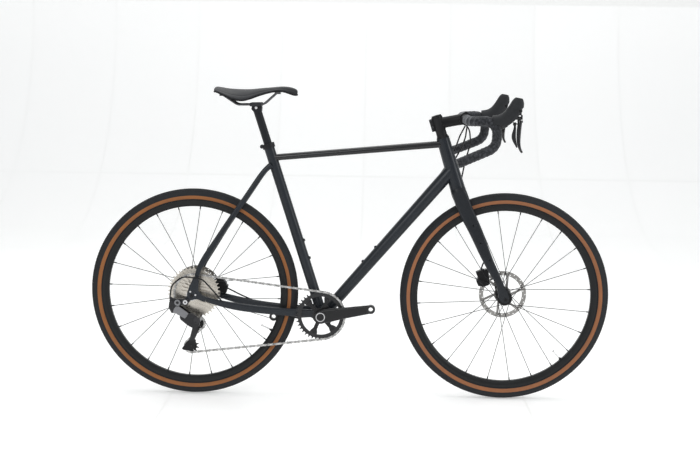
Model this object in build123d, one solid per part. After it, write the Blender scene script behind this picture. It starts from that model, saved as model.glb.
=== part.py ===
"""Gravel road bicycle with a single chainring, disc brakes and a drop handlebar.

Working frame while drawing (mm): X forward from the rear axle, Y to the rider's left,
Z up from the ground. Every solid is shifted back by ORIGIN_X on export, so the saved
frame has its origin on the ground, midway between the two axles.
"""
import os
from math import atan2, cos, hypot, pi, radians, sin, sqrt, tan
from build123d import *

# ---- overall layout ----
WHEEL_R = 350.0            # outside of the tyre
WHEELBASE = 1042.0
ORIGIN_X = WHEELBASE / 2
BB_X, BB_Z = 428.0, 283.0  # bottom bracket centre
CRANK_LENGTH = 170.0
CRANK_ANGLE = 10.2         # right arm above horizontal, degrees
SEAT_ANGLE = 72.13
STEER_ANGLE = 72.3
STEER_X, STEER_Z = 819.4, 896.0   # a point on the steering axis

# ---- wheels ----
RIM_TOP_R = 312.0
RIM_INNER_R = 290.5
TYRE_HALF_WIDTH = 20.0
SPOKE_COUNT = 24
SPOKE_R = 1.0
SPOKE_PITCH = 360.0 / SPOKE_COUNT
FRONT_SPOKE_START = 5.5    # degrees
REAR_SPOKE_START = 11.0
HUB_SPOKE_R = 21.0         # spoke hole circle
ROTOR_R = 80.0
ROTOR_THICK = 1.8
FRONT_ROTOR_Y = 39.5
REAR_ROTOR_Y = 54.0
AXLE_R = 6.0
FRONT_GAP = 50.0           # half the fork's inner width at the axle
REAR_GAP = 71.0            # half the frame's inner width at the axle
RUNNING = 0.05             # radial clearance of a shaft in its bore
CLEAR = 0.3                # gap between faces that move past each other

# ---- frame tubes ----
SEAT_TUBE_R = 17.45
SEATPOST_R = 13.6
SEAT_TUBE_TOP_Z = 850.0
BB_SHELL_R = 27.0
BB_SHELL_HALF = 42.0
BB_BORE_R = 20.5
SPINDLE_R = 12.0
HEAD_LOW, HEAD_HIGH = -190.0, -17.0   # distances along the steering axis
STEERER_R = 14.3
STEERER_LOW_R = 19.05
HOSE_R = 2.5
BAR_R = 12.0
BAR_CLAMP_R = 15.9
TAPE_R = 16.0
BAR_X, BAR_Z = 897.6, 944.7
RAIL_R = 3.5

# ---- drive ----
CHAIN_PITCH = 12.7
RING_TEETH = 40
RING_Y = -45.0
SPROCKETS = [42, 37, 32, 28, 24, 21, 19, 17, 15, 13, 11]
SPROCKET_Y0 = -25.0
SPROCKET_STEP = -3.9
ENGAGED = 2                # index of the sprocket that carries the chain
PULLEY_TEETH = 11
CAGE_PIVOT = (19.0, 268.0)
GUIDE_PULLEY = (15.0, 247.0)
TENSION_REACH = 102.8      # cage pivot to tension pulley
ROLLER_R = 3.85
LINK_HALF_WIDTH = 2.65


# ------------------------------------------------------------------ helpers
def pt(x, z, y=0.0):
    return Vector(x, y, z)


def pitch_radius(teeth):
    return CHAIN_PITCH / (2 * sin(pi / teeth))


def rod(a, b, r):
    run = b - a
    return extrude(Plane(origin=a, z_dir=run) * Circle(r), run.length)


def tube(a, b, outer, inner):
    return rod(a, b, outer) - rod(a, b, inner)


def cone(a, b, r_a, r_b):
    run = b - a
    start = Plane(origin=a, z_dir=run)
    end = Plane(origin=b, z_dir=run)
    return loft([start * Circle(r_a), end * Circle(r_b)])


def across(x, z, y0, y1, r):
    """A cylinder along Y."""
    return rod(pt(x, z, min(y0, y1)), pt(x, z, max(y0, y1)), r)


def ring_across(x, z, y0, y1, outer, inner):
    return across(x, z, y0, y1, outer) - across(x, z, y0, y1, inner)


def plate(points, y0, y1, corner=0.0):
    """A flat plate: an (x, z) outline given thickness along Y."""
    outline = make_face(Polyline(*[(x, z) for x, z in points], close=True))
    if corner:
        outline = fillet(outline.vertices(), corner)
    return extrude(Plane.XZ.offset(-max(y0, y1)) * outline, abs(y1 - y0))


def block(x0, x1, y0, y1, z0, z1, turn=0.0):
    """A box given by its limits, turned about its centre in the side view."""
    solid = Box(abs(x1 - x0), abs(y1 - y0), abs(z1 - z0))
    place = Location(((x0 + x1) / 2, (y0 + y1) / 2, (z0 + z1) / 2), (0, turn, 0))
    return place * solid


def spun(profile):
    """Turn a (y, radius) outline about the Y axis."""
    outline = make_face(Polyline(*profile, close=True))
    return revolve(Plane.YZ * outline, Axis.Y)


def shaped(sections, inset=0.0):
    """Loft rounded rectangles: each is (point, direction, width across, height)."""
    faces = []
    for origin, direction, width, height in sections:
        w, h = width - 2 * inset, height - 2 * inset
        plane = Plane(origin=origin, x_dir=(0, 1, 0), z_dir=direction)
        faces.append(plane * RectangleRounded(w, h, 0.46 * min(w, h)))
    return loft(faces)


def route(points, bend):
    """Straight runs joined by tangent arcs."""
    edges = []
    start = points[0]
    for before, corner, after in zip(points, points[1:], points[2:]):
        u = (before - corner).normalized()
        v = (after - corner).normalized()
        half = radians(u.get_angle(v)) / 2
        if half > radians(88.5):
            edges.append(Line(start, corner))
            start = corner
            continue
        room = 0.48 * min((before - corner).length, (after - corner).length)
        reach = min(bend / tan(half), room)
        radius = reach * tan(half)
        inward = (u + v).normalized()
        middle = corner + inward * (radius / sin(half) - radius)
        a, b = corner + u * reach, corner + v * reach
        edges.append(Line(start, a))
        edges.append(ThreePointArc(a, middle, b))
        start = b
    edges.append(Line(start, points[-1]))
    return Wire(edges)


def pipe(points, bend, r, inner=0.0):
    path = route(points, bend)
    section = Circle(r)
    if inner:
        section = section - Circle(inner)
    start = Plane(origin=path @ 0, z_dir=path % 0)
    return sweep(start * section, path=path)


def on_steer(s, y=0.0):
    """A point at distance s up the steering axis."""
    a = radians(STEER_ANGLE)
    return Vector(STEER_X - s * cos(a), y, STEER_Z + s * sin(a))


def seat_x(z):
    return 429.0 - (z - BB_Z) / tan(radians(SEAT_ANGLE))


def at_wheel(solid, x):
    return Pos(x, 0, WHEEL_R) * solid


def mirrored(solid):
    return mirror(solid, about=Plane.XZ)


def around(count, start=0.0):
    """Equal angles round a circle, in degrees."""
    return [start + 360.0 * i / count for i in range(count)]


def polar(x, z, r, degrees_up, y=0.0):
    a = radians(degrees_up)
    return pt(x + r * cos(a), z + r * sin(a), y)


def largest(shape):
    """Drop the slivers a cut leaves behind."""
    return sorted(shape.solids(), key=lambda piece: piece.volume)[-1]


def bored(solid, channels):
    """Cut the passages that the inner hoses run through."""
    for channel in channels:
        solid = solid - channel
    return largest(solid)


def save(node, *solids):
    """Write one node, moved to the saved frame."""
    pieces = []
    for item in solids:
        pieces.extend(item.solids())
    placed = [Pos(-ORIGIN_X, 0, 0) * piece for piece in pieces]
    shape = placed[0] if len(placed) == 1 else Compound(children=placed)
    export_step(shape, "parts/" + node + ".step")
    print(node, len(placed), flush=True)


# ------------------------------------------------------------------ wheels
def tyre():
    """An open casing whose two beads sit inside the rim's walls."""
    low, hook = 305.0, 314.0
    outer = ThreePointArc((11.9, hook), (0, WHEEL_R), (-11.9, hook))
    inner = ThreePointArc((-9.4, hook + 1.2), (0, WHEEL_R - 3.2), (9.4, hook + 1.2))
    left = Polyline((-11.9, hook), (-10.6, RIM_TOP_R), (-10.6, low), (-9.2, low), (-9.4, hook + 1.2))
    right = Polyline((9.4, hook + 1.2), (9.2, low), (10.6, low), (10.6, RIM_TOP_R), (11.9, hook))
    outline = make_face([outer, left, inner, right])
    return revolve(Plane.YZ * outline, Axis.Y)


def rim():
    outer = [(12.7, RIM_TOP_R - 0.3), (12.7, 304), (11.2, 297), (6, RIM_INNER_R), (-6, RIM_INNER_R)]
    outer += [(-11.2, 297), (-12.7, 304), (-12.7, RIM_TOP_R - 0.3), (-10.75, RIM_TOP_R - 0.3)]
    outer += [(-10.75, 304.6), (-6, 304.6), (-5, 302.6), (5, 302.6), (6, 304.6), (10.75, 304.6)]
    outer += [(10.75, RIM_TOP_R - 0.3)]
    cavity = [(10.4, 302.8), (6, 302.8), (5, 300.8), (-5, 300.8), (-6, 302.8), (-10.4, 302.8)]
    cavity += [(-9.6, 298.2), (-5, 292.6), (5, 292.6), (9.6, 298.2)]
    return spun(outer) - spun(cavity)


def valve(angle):
    base = polar(0, 0, 286.0, angle)
    tip = polar(0, 0, 252.0, angle)
    stem = rod(polar(0, 0, 304.0, angle), base, 3.0)
    return stem + rod(base, tip, 2.6) + rod(polar(0, 0, 289.5, angle), polar(0, 0, 287.0, angle), 5.0)


def spokes(start, left_y, right_y):
    """Crossed spokes, alternately from the left and right flange, with nipples."""
    result = []
    for i in range(SPOKE_COUNT):
        angle = start + SPOKE_PITCH * i
        lead = 1 if (i // 2) % 2 == 0 else -1
        flange = left_y if i % 2 == 0 else right_y
        hub = polar(0, 0, HUB_SPOKE_R, angle + lead * 62.0, flange + lead * 2.6)
        end = polar(0, 0, RIM_INNER_R + 1.5, angle, 2.0 if i % 2 == 0 else -2.0)
        inward = (hub - end).normalized()
        spoke = rod(hub, end, SPOKE_R)
        nipple = rod(end, end + inward * 11.0, 2.0)
        result.append(spoke + nipple)
    return result


def front_hub():
    bore = AXLE_R + RUNNING
    end = FRONT_GAP - CLEAR
    half = [(-end, bore), (-end, 10), (-43, 10), (-40, 14), (-33.5, 15), (-33, 25), (-29.5, 25), (-29, 15)]
    half += [(-20, 11.5), (18, 11.5), (24, 15), (24.5, 25), (28, 25), (28.5, 17), (42, 17)]
    half += [(43, 15.5), (43, 10), (end, 10), (end, bore)]
    return spun(half)


def rear_hub():
    bore = AXLE_R + RUNNING
    end = REAR_GAP - CLEAR
    half = [(-22.0, bore), (-22.0, 16), (-21, 25), (-17.5, 25), (-17, 18), (-8, 14), (24, 14), (31.5, 17)]
    half += [(32, 25), (35.5, 25), (36, 17), (58, 17), (58, 10), (end, 10), (end, bore)]
    return spun(half)


def rotor(y, hub_r):
    """A disc rotor with round vents, six arms and a lockring centre."""
    half = ROTOR_THICK / 2
    band = ring_across(0, 0, y - half, y + half, ROTOR_R, 65.5)
    for angle in around(36):
        p = polar(0, 0, 76.3 if (angle // 10) % 2 == 0 else 69.5, angle)
        band -= across(p.X, p.Z, y - 2, y + 2, 1.9)
    centre = ring_across(0, 0, y - half, y + half, 29.0, hub_r)
    lock = ring_across(0, 0, y - 2.5, y + 2.5, 22.0, hub_r)
    arms = []
    for angle in around(6):
        a = polar(0, 0, 26.0, angle)
        b = polar(0, 0, 67.0, angle + 16.0)
        arms.append(bar_plate(a, b, 7.5, y - half, y + half))
    shape = band + centre + lock
    for arm in arms:
        shape += arm
    return shape


def bar_plate(a, b, width, y0, y1):
    """A straight flat strip between two points of the side view."""
    run = Vector(b.X - a.X, 0, b.Z - a.Z)
    side = Vector(-run.Z, 0, run.X).normalized() * (width / 2)
    corners = [a + side, b + side, b - side, a - side]
    return plate([(c.X, c.Z) for c in corners], y0, y1)


# ------------------------------------------------------------------ drive
def toothed(teeth, y, thick, phase, inner, gap=4.15):
    """A sprocket whose gaps hold rollers on the pitch circle, first gap at phase degrees."""
    radius = pitch_radius(teeth)
    tip = radius + 3.6
    step = 360.0 / teeth
    pocket = gap / cos(radians(17.5))
    outline = []
    for i in range(teeth):
        centre = radians(phase + step * i)
        for turn in (252, 215, 180, 145, 108):
            a = centre + radians(turn)
            outline.append((radius * cos(centre) + pocket * cos(a), radius * sin(centre) + pocket * sin(a)))
        for share in (0.42, 0.58):
            a = centre + radians(share * step)
            outline.append((tip * cos(a), tip * sin(a)))
    solid = plate(outline, y - thick / 2, y + thick / 2)
    return solid - across(0, 0, y - thick, y + thick, inner)


def tangent(c1, r1, c2, r2, side1, side2):
    """Where a belt leaves circle 1 and meets circle 2; side +1 turns clockwise in side view."""
    dx, dz = c2[0] - c1[0], c2[1] - c1[1]
    dist = hypot(dx, dz)
    base = atan2(dz, dx)
    diff = side1 * r1 - side2 * r2
    lean = atan2(diff, sqrt(dist * dist - diff * diff))
    travel = base - lean
    out = (c1[0] - side1 * r1 * sin(travel), c1[1] + side1 * r1 * cos(travel))
    back = (c2[0] - side2 * r2 * sin(travel), c2[1] + side2 * r2 * cos(travel))
    return out, back


def tension_pulley_at(cage):
    a = radians(cage)
    return (CAGE_PIVOT[0] + TENSION_REACH * cos(a), CAGE_PIVOT[1] + TENSION_REACH * sin(a))


def chain_runs(cage):
    """The loop as alternating arcs and straights, in the direction the chain travels."""
    engaged_y = SPROCKET_Y0 + SPROCKET_STEP * ENGAGED
    wheels = [((BB_X, BB_Z), RING_TEETH, 1, RING_Y), (tension_pulley_at(cage), PULLEY_TEETH, 1, engaged_y)]
    wheels += [(GUIDE_PULLEY, PULLEY_TEETH, -1, engaged_y),
               ((0.0, WHEEL_R), SPROCKETS[ENGAGED], 1, engaged_y)]
    links = []
    for i, (centre, teeth, side, y) in enumerate(wheels):
        after = wheels[(i + 1) % len(wheels)]
        links.append(tangent(centre, pitch_radius(teeth), after[0], pitch_radius(after[1]), side, after[2]))
    runs = []
    for i, (centre, teeth, side, y) in enumerate(wheels):
        entry = links[i - 1][1]
        leave = links[i][0]
        a0 = atan2(entry[1] - centre[1], entry[0] - centre[0])
        a1 = atan2(leave[1] - centre[1], leave[0] - centre[0])
        sweep_angle = (a0 - a1) % (2 * pi) if side > 0 else (a1 - a0) % (2 * pi)
        steps = sweep_angle * teeth / (2 * pi)
        runs.append(("arc", centre, teeth, side, y, a0, steps))
        end = links[i][1]
        length = hypot(end[0] - leave[0], end[1] - leave[1])
        runs.append(("line", leave, end, y, wheels[(i + 1) % 4][3], 0.0, length / CHAIN_PITCH))
    return runs


def loop_count(cage):
    return sum(run[-1] for run in chain_runs(cage))


def settle_cage():
    """The cage hangs where the loop is a whole, even number of links."""
    guess = 250.5
    target = 2 * round(loop_count(guess) / 2)
    low, high = guess - 18.0, guess + 18.0
    for _ in range(60):
        middle = (low + high) / 2
        if (loop_count(middle) > target) == (loop_count(low) > target):
            low = middle
        else:
            high = middle
    return low, target


def chain_points(cage, total):
    """Roller centres round the loop, and the phase each toothed wheel needs."""
    points, phases = [], []
    runs = chain_runs(cage)
    done = 0.0
    for run in runs:
        if run[0] == "arc":
            centre, teeth, side, y, a0, steps = run[1:]
            step = 2 * pi / teeth
            phases.append((a0 - side * step * (-done % 1.0)) * 180 / pi)
        k = -done % 1.0
        while k < run[-1] - 1e-9 and len(points) < total:
            if run[0] == "arc":
                a = a0 - side * step * k
                r = pitch_radius(teeth)
                points.append(pt(centre[0] + r * cos(a), centre[1] + r * sin(a), y))
            else:
                f = k / run[-1]
                start, end, y0, y1 = run[1:5]
                eased = f * f * (3 - 2 * f)
                along = pt(start[0] + f * (end[0] - start[0]), start[1] + f * (end[1] - start[1]))
                points.append(along + Vector(0, y0 + eased * (y1 - y0), 0))
            k += 1.0
        done += run[-1]
    return points, phases


def link_plate(a, b, y0, y1, hole):
    """One side plate of a link from roller a to roller b, drawn along +X at the origin."""
    length = (b - a).length
    body = plate([(0, -2.9), (length, -2.9), (length, 2.9), (0, 2.9)], y0, y1)
    body += across(0, 0, y0, y1, 3.9) + across(length, 0, y0, y1, 3.9)
    for x in (0.0, length):
        if hole:
            body -= across(x, 0, y0 - 1, y1 + 1, hole)
    return body


def chain(points):
    """Outer links with pins, and inner links with rollers, one solid for each link."""
    result = []
    total = len(points)
    inner_wall = 1.25
    middle_wall = 1.95
    for i in range(total):
        a, b = points[i], points[(i + 1) % total]
        length = (b - a).length
        if i % 2 == 0:
            link = link_plate(a, b, inner_wall, middle_wall, 0) + link_plate(a, b, -middle_wall,
                                                                             -inner_wall, 0)
            link += across(0, 0, -inner_wall, inner_wall, ROLLER_R)
            link += across(length, 0, -inner_wall, inner_wall, ROLLER_R)
            for x in (0.0, length):
                link -= across(x, 0, -4, 4, 1.9)
        else:
            link = link_plate(a, b, middle_wall + 0.05, LINK_HALF_WIDTH, 0)
            link += link_plate(a, b, -LINK_HALF_WIDTH, -middle_wall - 0.05, 0)
            for x in (0.0, length):
                link += across(x, 0, -LINK_HALF_WIDTH - 0.2, LINK_HALF_WIDTH + 0.2, 1.8)
        run = (b - a).normalized()
        side = run.cross(Vector(0, 1, 0)).normalized()
        place = Plane(origin=a, x_dir=run, z_dir=side)
        result.append(place.location * link)
    return result


def cassette(phases):
    """Eleven sprockets on one carrier."""
    shape = None
    for i, teeth in enumerate(SPROCKETS):
        y = SPROCKET_Y0 + SPROCKET_STEP * i
        inner = max(17.0, pitch_radius(teeth) - 15.0) if i < 5 else 17.0
        phase = phases[3] if i == ENGAGED else 7.0 * i
        piece = toothed(teeth, y, 1.6, phase, inner)
        shape = piece if shape is None else shape + piece
    y_small = SPROCKET_Y0 + SPROCKET_STEP * 5
    last = SPROCKET_Y0 + SPROCKET_STEP * 10
    shape += ring_across(0, 0, last - 1.4, SPROCKET_Y0 + 0.8, 19.4, 17.0)
    shape += ring_across(0, 0, y_small - 0.8, SPROCKET_Y0 + 0.8, 24.0, 17.0)
    for angle in around(7, 12.0):
        tall = pitch_radius(SPROCKETS[0]) - 15.0
        low = pitch_radius(SPROCKETS[4]) - 10.5
        profile = make_face(Polyline((SPROCKET_Y0 + 0.6, 18.5), (SPROCKET_Y0 + 0.6, tall),
                                     (SPROCKET_Y0 + 4 * SPROCKET_STEP, low),
                                     (SPROCKET_Y0 + 4 * SPROCKET_STEP, 18.5), close=True))
        arm = extrude(Plane.YZ.offset(-2.5) * profile, 5.0)
        shape += Rot(0, angle, 0) * arm
    return shape


def freehub():
    """The driver that the cassette slides on, with its end cap and lockring."""
    bore = AXLE_R + RUNNING
    body = ring_across(0, 0, -66.0, -22.3, 16.95, bore)
    cap = ring_across(0, 0, -(REAR_GAP - CLEAR), -66.0, 10.5, bore)
    lockring = ring_across(0, 0, -68.0, -66.0, 19.0, 10.0)
    return body + cap + lockring


SPIDER_ANGLES = [CRANK_ANGLE + turn for turn in (57.5, 122.5, 237.5, 302.5)]
RING_BOLT_R = 55.0         # bolt circle of the chainring


def chainring(phase):
    """A toothed ring with four tabs for its bolts and large windows between them."""
    thick = 1.8
    ring = Pos(BB_X, 0, BB_Z) * toothed(RING_TEETH, RING_Y, thick, phase, 65.0)
    for angle in SPIDER_ANGLES:
        for reach, half in ((RING_BOLT_R, 9.5), (RING_BOLT_R + 7.0, 12.5)):
            p = polar(BB_X, BB_Z, reach, angle)
            ring += across(p.X, p.Z, RING_Y - thick / 2, RING_Y + thick / 2, half)
    for angle in SPIDER_ANGLES:
        p = polar(BB_X, BB_Z, RING_BOLT_R, angle)
        ring -= across(p.X, p.Z, RING_Y - 3, RING_Y + 3, 4.2)
    return ring


def crank_arm(sign, angle):
    """One forged arm from the spindle to the pedal eye; sign is the side it is on."""
    eye = polar(BB_X, BB_Z, CRANK_LENGTH, angle)
    run = (eye - pt(BB_X, BB_Z)).normalized()
    sections = []
    stations = ((0, 61, 19, 44), (22, 61.5, 18, 47), (48, 63, 16, 43), (78, 65.5, 15, 38),
                (112, 68.3, 14.2, 34.5),
                (142, 70.8, 13.5, 31.5), (CRANK_LENGTH - 2, 73, 13, 29.5))
    for d, y, thick, height in stations:
        sections.append((pt(BB_X + run.X * d, BB_Z + run.Z * d, sign * y), run, thick, height))
    arm = shaped(sections)
    arm += across(BB_X, BB_Z, sign * 50.0, sign * 72.0, 19.0)
    arm += across(eye.X, eye.Z, sign * 66.5, sign * 79.5, 14.8)
    arm -= across(eye.X, eye.Z, sign * 60.0, sign * 90.0, 7.14)
    return arm


def right_crank():
    """Right arm with its spider, chainring bolts and end cap."""
    arm = crank_arm(-1, CRANK_ANGLE)
    arm -= across(BB_X, BB_Z, -49.0, -73.0, SPINDLE_R)
    spider_y = (RING_Y - 0.9, RING_Y - 5.4)
    hub = ring_across(BB_X, BB_Z, spider_y[1] - 1.0, RING_Y - 0.9, 27.0, SPINDLE_R)
    arm += hub
    for angle in SPIDER_ANGLES:
        a = polar(BB_X, BB_Z, 20.0, angle)
        b = polar(BB_X, BB_Z, RING_BOLT_R, angle)
        arm += bar_plate(a, b, 13.0, spider_y[0], spider_y[1])
        arm += across(b.X, b.Z, spider_y[0], spider_y[1], 9.0)
        arm += across(b.X, b.Z, RING_Y + 2.0, spider_y[1] - 1.5, 4.2)
    for side in (-1, 1):
        corners = [polar(BB_X, BB_Z, r, CRANK_ANGLE + side * turn)
                   for r, turn in ((13, 90), (46, 62), (40, 40), (47, 16), (12, 0))]
        arm += plate([(p.X, p.Z) for p in corners], spider_y[0], spider_y[1])
    return arm - across(BB_X, BB_Z, RING_Y, -73.0, SPINDLE_R)


def crank_cap():
    """Silver ring and plug on the spindle's right end."""
    ring = ring_across(BB_X, BB_Z, -74.5, -72.0, 15.0, 10.5)
    plug = across(BB_X, BB_Z, -73.6, -72.0, 10.5)
    return ring + plug


def left_crank():
    """Left arm with its two clamp bolts, and the long spindle it is fixed to."""
    arm = crank_arm(1, CRANK_ANGLE + 180.0)
    arm -= across(BB_X, BB_Z, 49.0, 73.0, SPINDLE_R + 0.02)
    for z in (-14.0, 14.0):
        arm += rod(pt(BB_X + 8, BB_Z + z, 63.0), pt(BB_X + 20, BB_Z + z, 63.0), 3.2)
    arm -= across(BB_X, BB_Z, 49.0, 73.0, SPINDLE_R + 0.02)
    spindle = ring_across(BB_X, BB_Z, -72.0, 72.0, SPINDLE_R, 9.5)
    return [arm, spindle]


# ------------------------------------------------------------------ frame
DOWN_TUBE_LOW = pt(428.0, 270.1)
DOWN_TUBE_HIGH = pt(857.8, 775.5)
TOP_TUBE_REAR = pt(262.0, 806.8)
TOP_TUBE_FRONT = pt(829.5, 860.6)


def head_core():
    return cone(on_steer(HEAD_LOW), on_steer(HEAD_HIGH), 25.0, 21.5)


def head_tube():
    solid = head_core()
    solid -= rod(on_steer(HEAD_LOW - 1), on_steer(-140), 20.6)
    solid -= rod(on_steer(-141), on_steer(HEAD_HIGH + 1), 16.0)
    solid -= rod(on_steer(HEAD_LOW - 1), on_steer(HEAD_LOW + 9), 22.0)
    solid -= rod(on_steer(HEAD_HIGH - 8), on_steer(HEAD_HIGH + 1), 19.0)
    return solid


def headset_cups():
    low = tube(on_steer(HEAD_LOW + 1), on_steer(HEAD_LOW + 9), 21.98, STEERER_LOW_R + RUNNING)
    high = tube(on_steer(HEAD_HIGH - 8), on_steer(HEAD_HIGH - 1), 18.98, STEERER_R + RUNNING)
    return [low, high]


def seat_core(inset=0.0):
    return rod(pt(seat_x(BB_Z), BB_Z), pt(seat_x(SEAT_TUBE_TOP_Z), SEAT_TUBE_TOP_Z), SEAT_TUBE_R - inset)


def seat_tube(shell):
    solid = seat_core() - rod(pt(seat_x(640), 640), pt(seat_x(870), 870), SEATPOST_R + RUNNING)
    solid -= rod(pt(seat_x(BB_Z), BB_Z), pt(seat_x(641), 641), SEAT_TUBE_R - 1.8)
    return solid - shell


def between(a, b, start, end, inset=0.0):
    """A straight tube between two points; start and end are its (width, height)."""
    run = b - a
    return shaped([(a, run, *start), (b, run, *end)], inset)


def top_tube():
    solid = between(TOP_TUBE_REAR, TOP_TUBE_FRONT, (30, 21.5), (36, 22.5))
    solid -= between(TOP_TUBE_REAR, TOP_TUBE_FRONT, (30, 21.5), (36, 22.5), 1.6)
    return solid - seat_core() - head_core()


def down_tube(shell):
    solid = between(DOWN_TUBE_LOW, DOWN_TUBE_HIGH, (44, 36), (46, 43.5))
    solid -= between(DOWN_TUBE_LOW, DOWN_TUBE_HIGH, (44, 36), (46, 43.5), 1.6)
    return solid - seat_core() - head_core() - shell


def bb_core():
    return across(BB_X, BB_Z, -BB_SHELL_HALF, BB_SHELL_HALF, BB_SHELL_R)


def bb_shell():
    return bb_core() - across(BB_X, BB_Z, -BB_SHELL_HALF, BB_SHELL_HALF, BB_BORE_R)


def bb_bearings():
    result = []
    for sign in (-1, 1):
        inner = SPINDLE_R + RUNNING
        cup = ring_across(BB_X, BB_Z, sign * 30.0, sign * BB_SHELL_HALF, BB_BORE_R - 0.02, inner)
        lip = ring_across(BB_X, BB_Z, sign * (BB_SHELL_HALF), sign * (BB_SHELL_HALF + 1.2), 22.5, inner)
        result.append(cup + lip)
    return result


CHAINSTAY = [(404, 287, 33, 15, 27), (345, 289.5, 33.5, 14, 27), (300, 292.5, 36.5, 15, 26),
             (223.6, 299.5, 43.5, 15, 25), (151.6, 310, 53, 13, 25), (94, 322.6, 62, 11, 21),
             (47, 336, 66.5, 10, 17)]
SEATSTAY = [(258, 783, 13, 15, 20), (224.6, 748.8, 22, 14, 18), (198, 709.3, 30.5, 12, 18),
            (171.5, 669.7, 35.5, 12, 18),
            (131, 610.9, 41.5, 12, 18), (78.9, 531.1, 51, 12, 19), (47, 481, 57.5, 11.5, 21),
            (28, 448, 62, 11, 18.5),
            (16, 412, 66, 10, 14)]


def stay(stations, sign):
    """Loft along stations of (x, z, y, width, height)."""
    sections = []
    for i, (x, z, y, width, height) in enumerate(stations):
        ahead = stations[min(i + 1, len(stations) - 1)]
        behind = stations[max(i - 1, 0)]
        run = pt(ahead[0], ahead[1], sign * ahead[2]) - pt(behind[0], behind[1], sign * behind[2])
        sections.append((pt(x, z, sign * y), run, width, height))
    return shaped(sections)


def tyre_space(x, radius, half):
    return across(x, WHEEL_R, -half, half, radius)


def chainstays(shell):
    return [stay(CHAINSTAY, sign) - shell for sign in (-1, 1)]


def seatstays():
    return [stay(SEATSTAY, sign) - seat_core() for sign in (-1, 1)]


HANGER_SCREWS = ((-4.1, 363.3), (13.0, 352.5))


def dropout(sign):
    """The flat end that joins both stays round the axle."""
    inner, outer = REAR_GAP, REAR_GAP + 7.0
    outline = [(24, 413), (8, 414), (-8, 380), (-14.6, 362), (-15.5, 350), (-12, 341), (2, 337),
               (20, 337.5), (44, 328.5),
               (52, 344), (34, 352), (22, 366)]
    solid = plate(outline, sign * inner, sign * outer, 2.5)
    solid += across(0, WHEEL_R, sign * inner, sign * (outer + 1.5), 15.0)
    solid -= across(0, WHEEL_R, sign * 60, sign * 90, AXLE_R)
    for x, z in HANGER_SCREWS:
        solid -= across(x, z, sign * 60, sign * 90, 2.2)
    return solid


def hanger():
    """Right-hand tab that carries the derailleur."""
    y0, y1 = -(REAR_GAP + 0.0), -(REAR_GAP + 7.0)
    outline = [(-12.5, 352), (-16, 346), (-29, 336), (-30, 326), (-25, 320), (-14, 321), (-4, 333),
               (0, 336), (-8, 339)]
    solid = plate(outline, y0, y1, 1.0)
    return solid - across(-20, 329, -60, -90, 5.0)


def thru_axle(x, gap, outer):
    """Axle with a head on the left and a threaded end with a collar on the right."""
    solid = across(x, WHEEL_R, -(gap + outer), gap + outer, AXLE_R)
    head = ring_across(x, WHEEL_R, gap + outer, gap + outer + 2.5, 8.0, 3.0)
    collar = ring_across(x, WHEEL_R, -(gap + outer), -(gap + outer + 1.0), 5.6, 3.0)
    return solid + head + collar


def seat_clamp():
    """Split collar on the seat tube's top with its bolt at the back."""
    low, high = pt(seat_x(838), 838), pt(seat_x(853), 853)
    solid = rod(low, high, 21.0)
    back = pt(seat_x(845) - 22, 843)
    solid += rod(back + Vector(0, -9, 0), back + Vector(0, 9, 0), 6.5)
    solid -= rod(low, high, SEAT_TUBE_R)
    solid -= rod(pt(seat_x(853) + 0.1, 849.9), high, SEATPOST_R + 0.4)
    solid -= block(seat_x(845) - 34, seat_x(845) - 12, -1.2, 1.2, 820, 870)
    return solid


def boss_bolt(base, out):
    """A threaded boss with the head of its bolt."""
    face = base + out * 1.6
    return rod(base, face, 6.0) + rod(face, face + out * 3.0, 4.0)


def frame_bolts():
    """Bottle bosses with their bolts, the hanger's two screws and the collar's bolt."""
    result = []
    axis = (DOWN_TUBE_HIGH - DOWN_TUBE_LOW).normalized()
    normal = Vector(-axis.Z, 0, axis.X)
    for d in (236.0, 300.0):
        result.append(boss_bolt(DOWN_TUBE_LOW + axis * d + normal * 19.2, normal))
    forward = Vector(sin(radians(SEAT_ANGLE)), 0, cos(radians(SEAT_ANGLE)))
    for z in (466.0, 526.0):
        result.append(boss_bolt(pt(seat_x(z), z) + forward * (SEAT_TUBE_R - 0.4), forward))
    for x, z in HANGER_SCREWS:
        outside = -(REAR_GAP + 8.5)
        shank = across(x, z, -(REAR_GAP + 0.5), outside, 2.2)
        result.append(shank + across(x, z, outside, outside - 1.2, 3.0))
    back = pt(seat_x(845) - 22, 843)
    shank = rod(back + Vector(0, -11.5, 0), back + Vector(0, 9, 0), 2.6)
    head = rod(back + Vector(0, -13, 0), back + Vector(0, -9, 0), 4.2)
    result.append(shank + head)
    return result


# ------------------------------------------------------------------ fork and steering
FORK_LEG = [(880.5, 704, 27, 34, 48), (893, 672, 36, 20, 49), (925.7, 600.4, 41.5, 17, 45.6),
            (962.9, 520.7, 47.5, 15, 37.5),
            (975.5, 492, 49.5, 14.5, 34.5), (998.5, 446, 53, 13.5, 29.5), (1023, 399, 56, 12.5, 24),
            (1033, 374, 57, 12, 24)]


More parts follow.
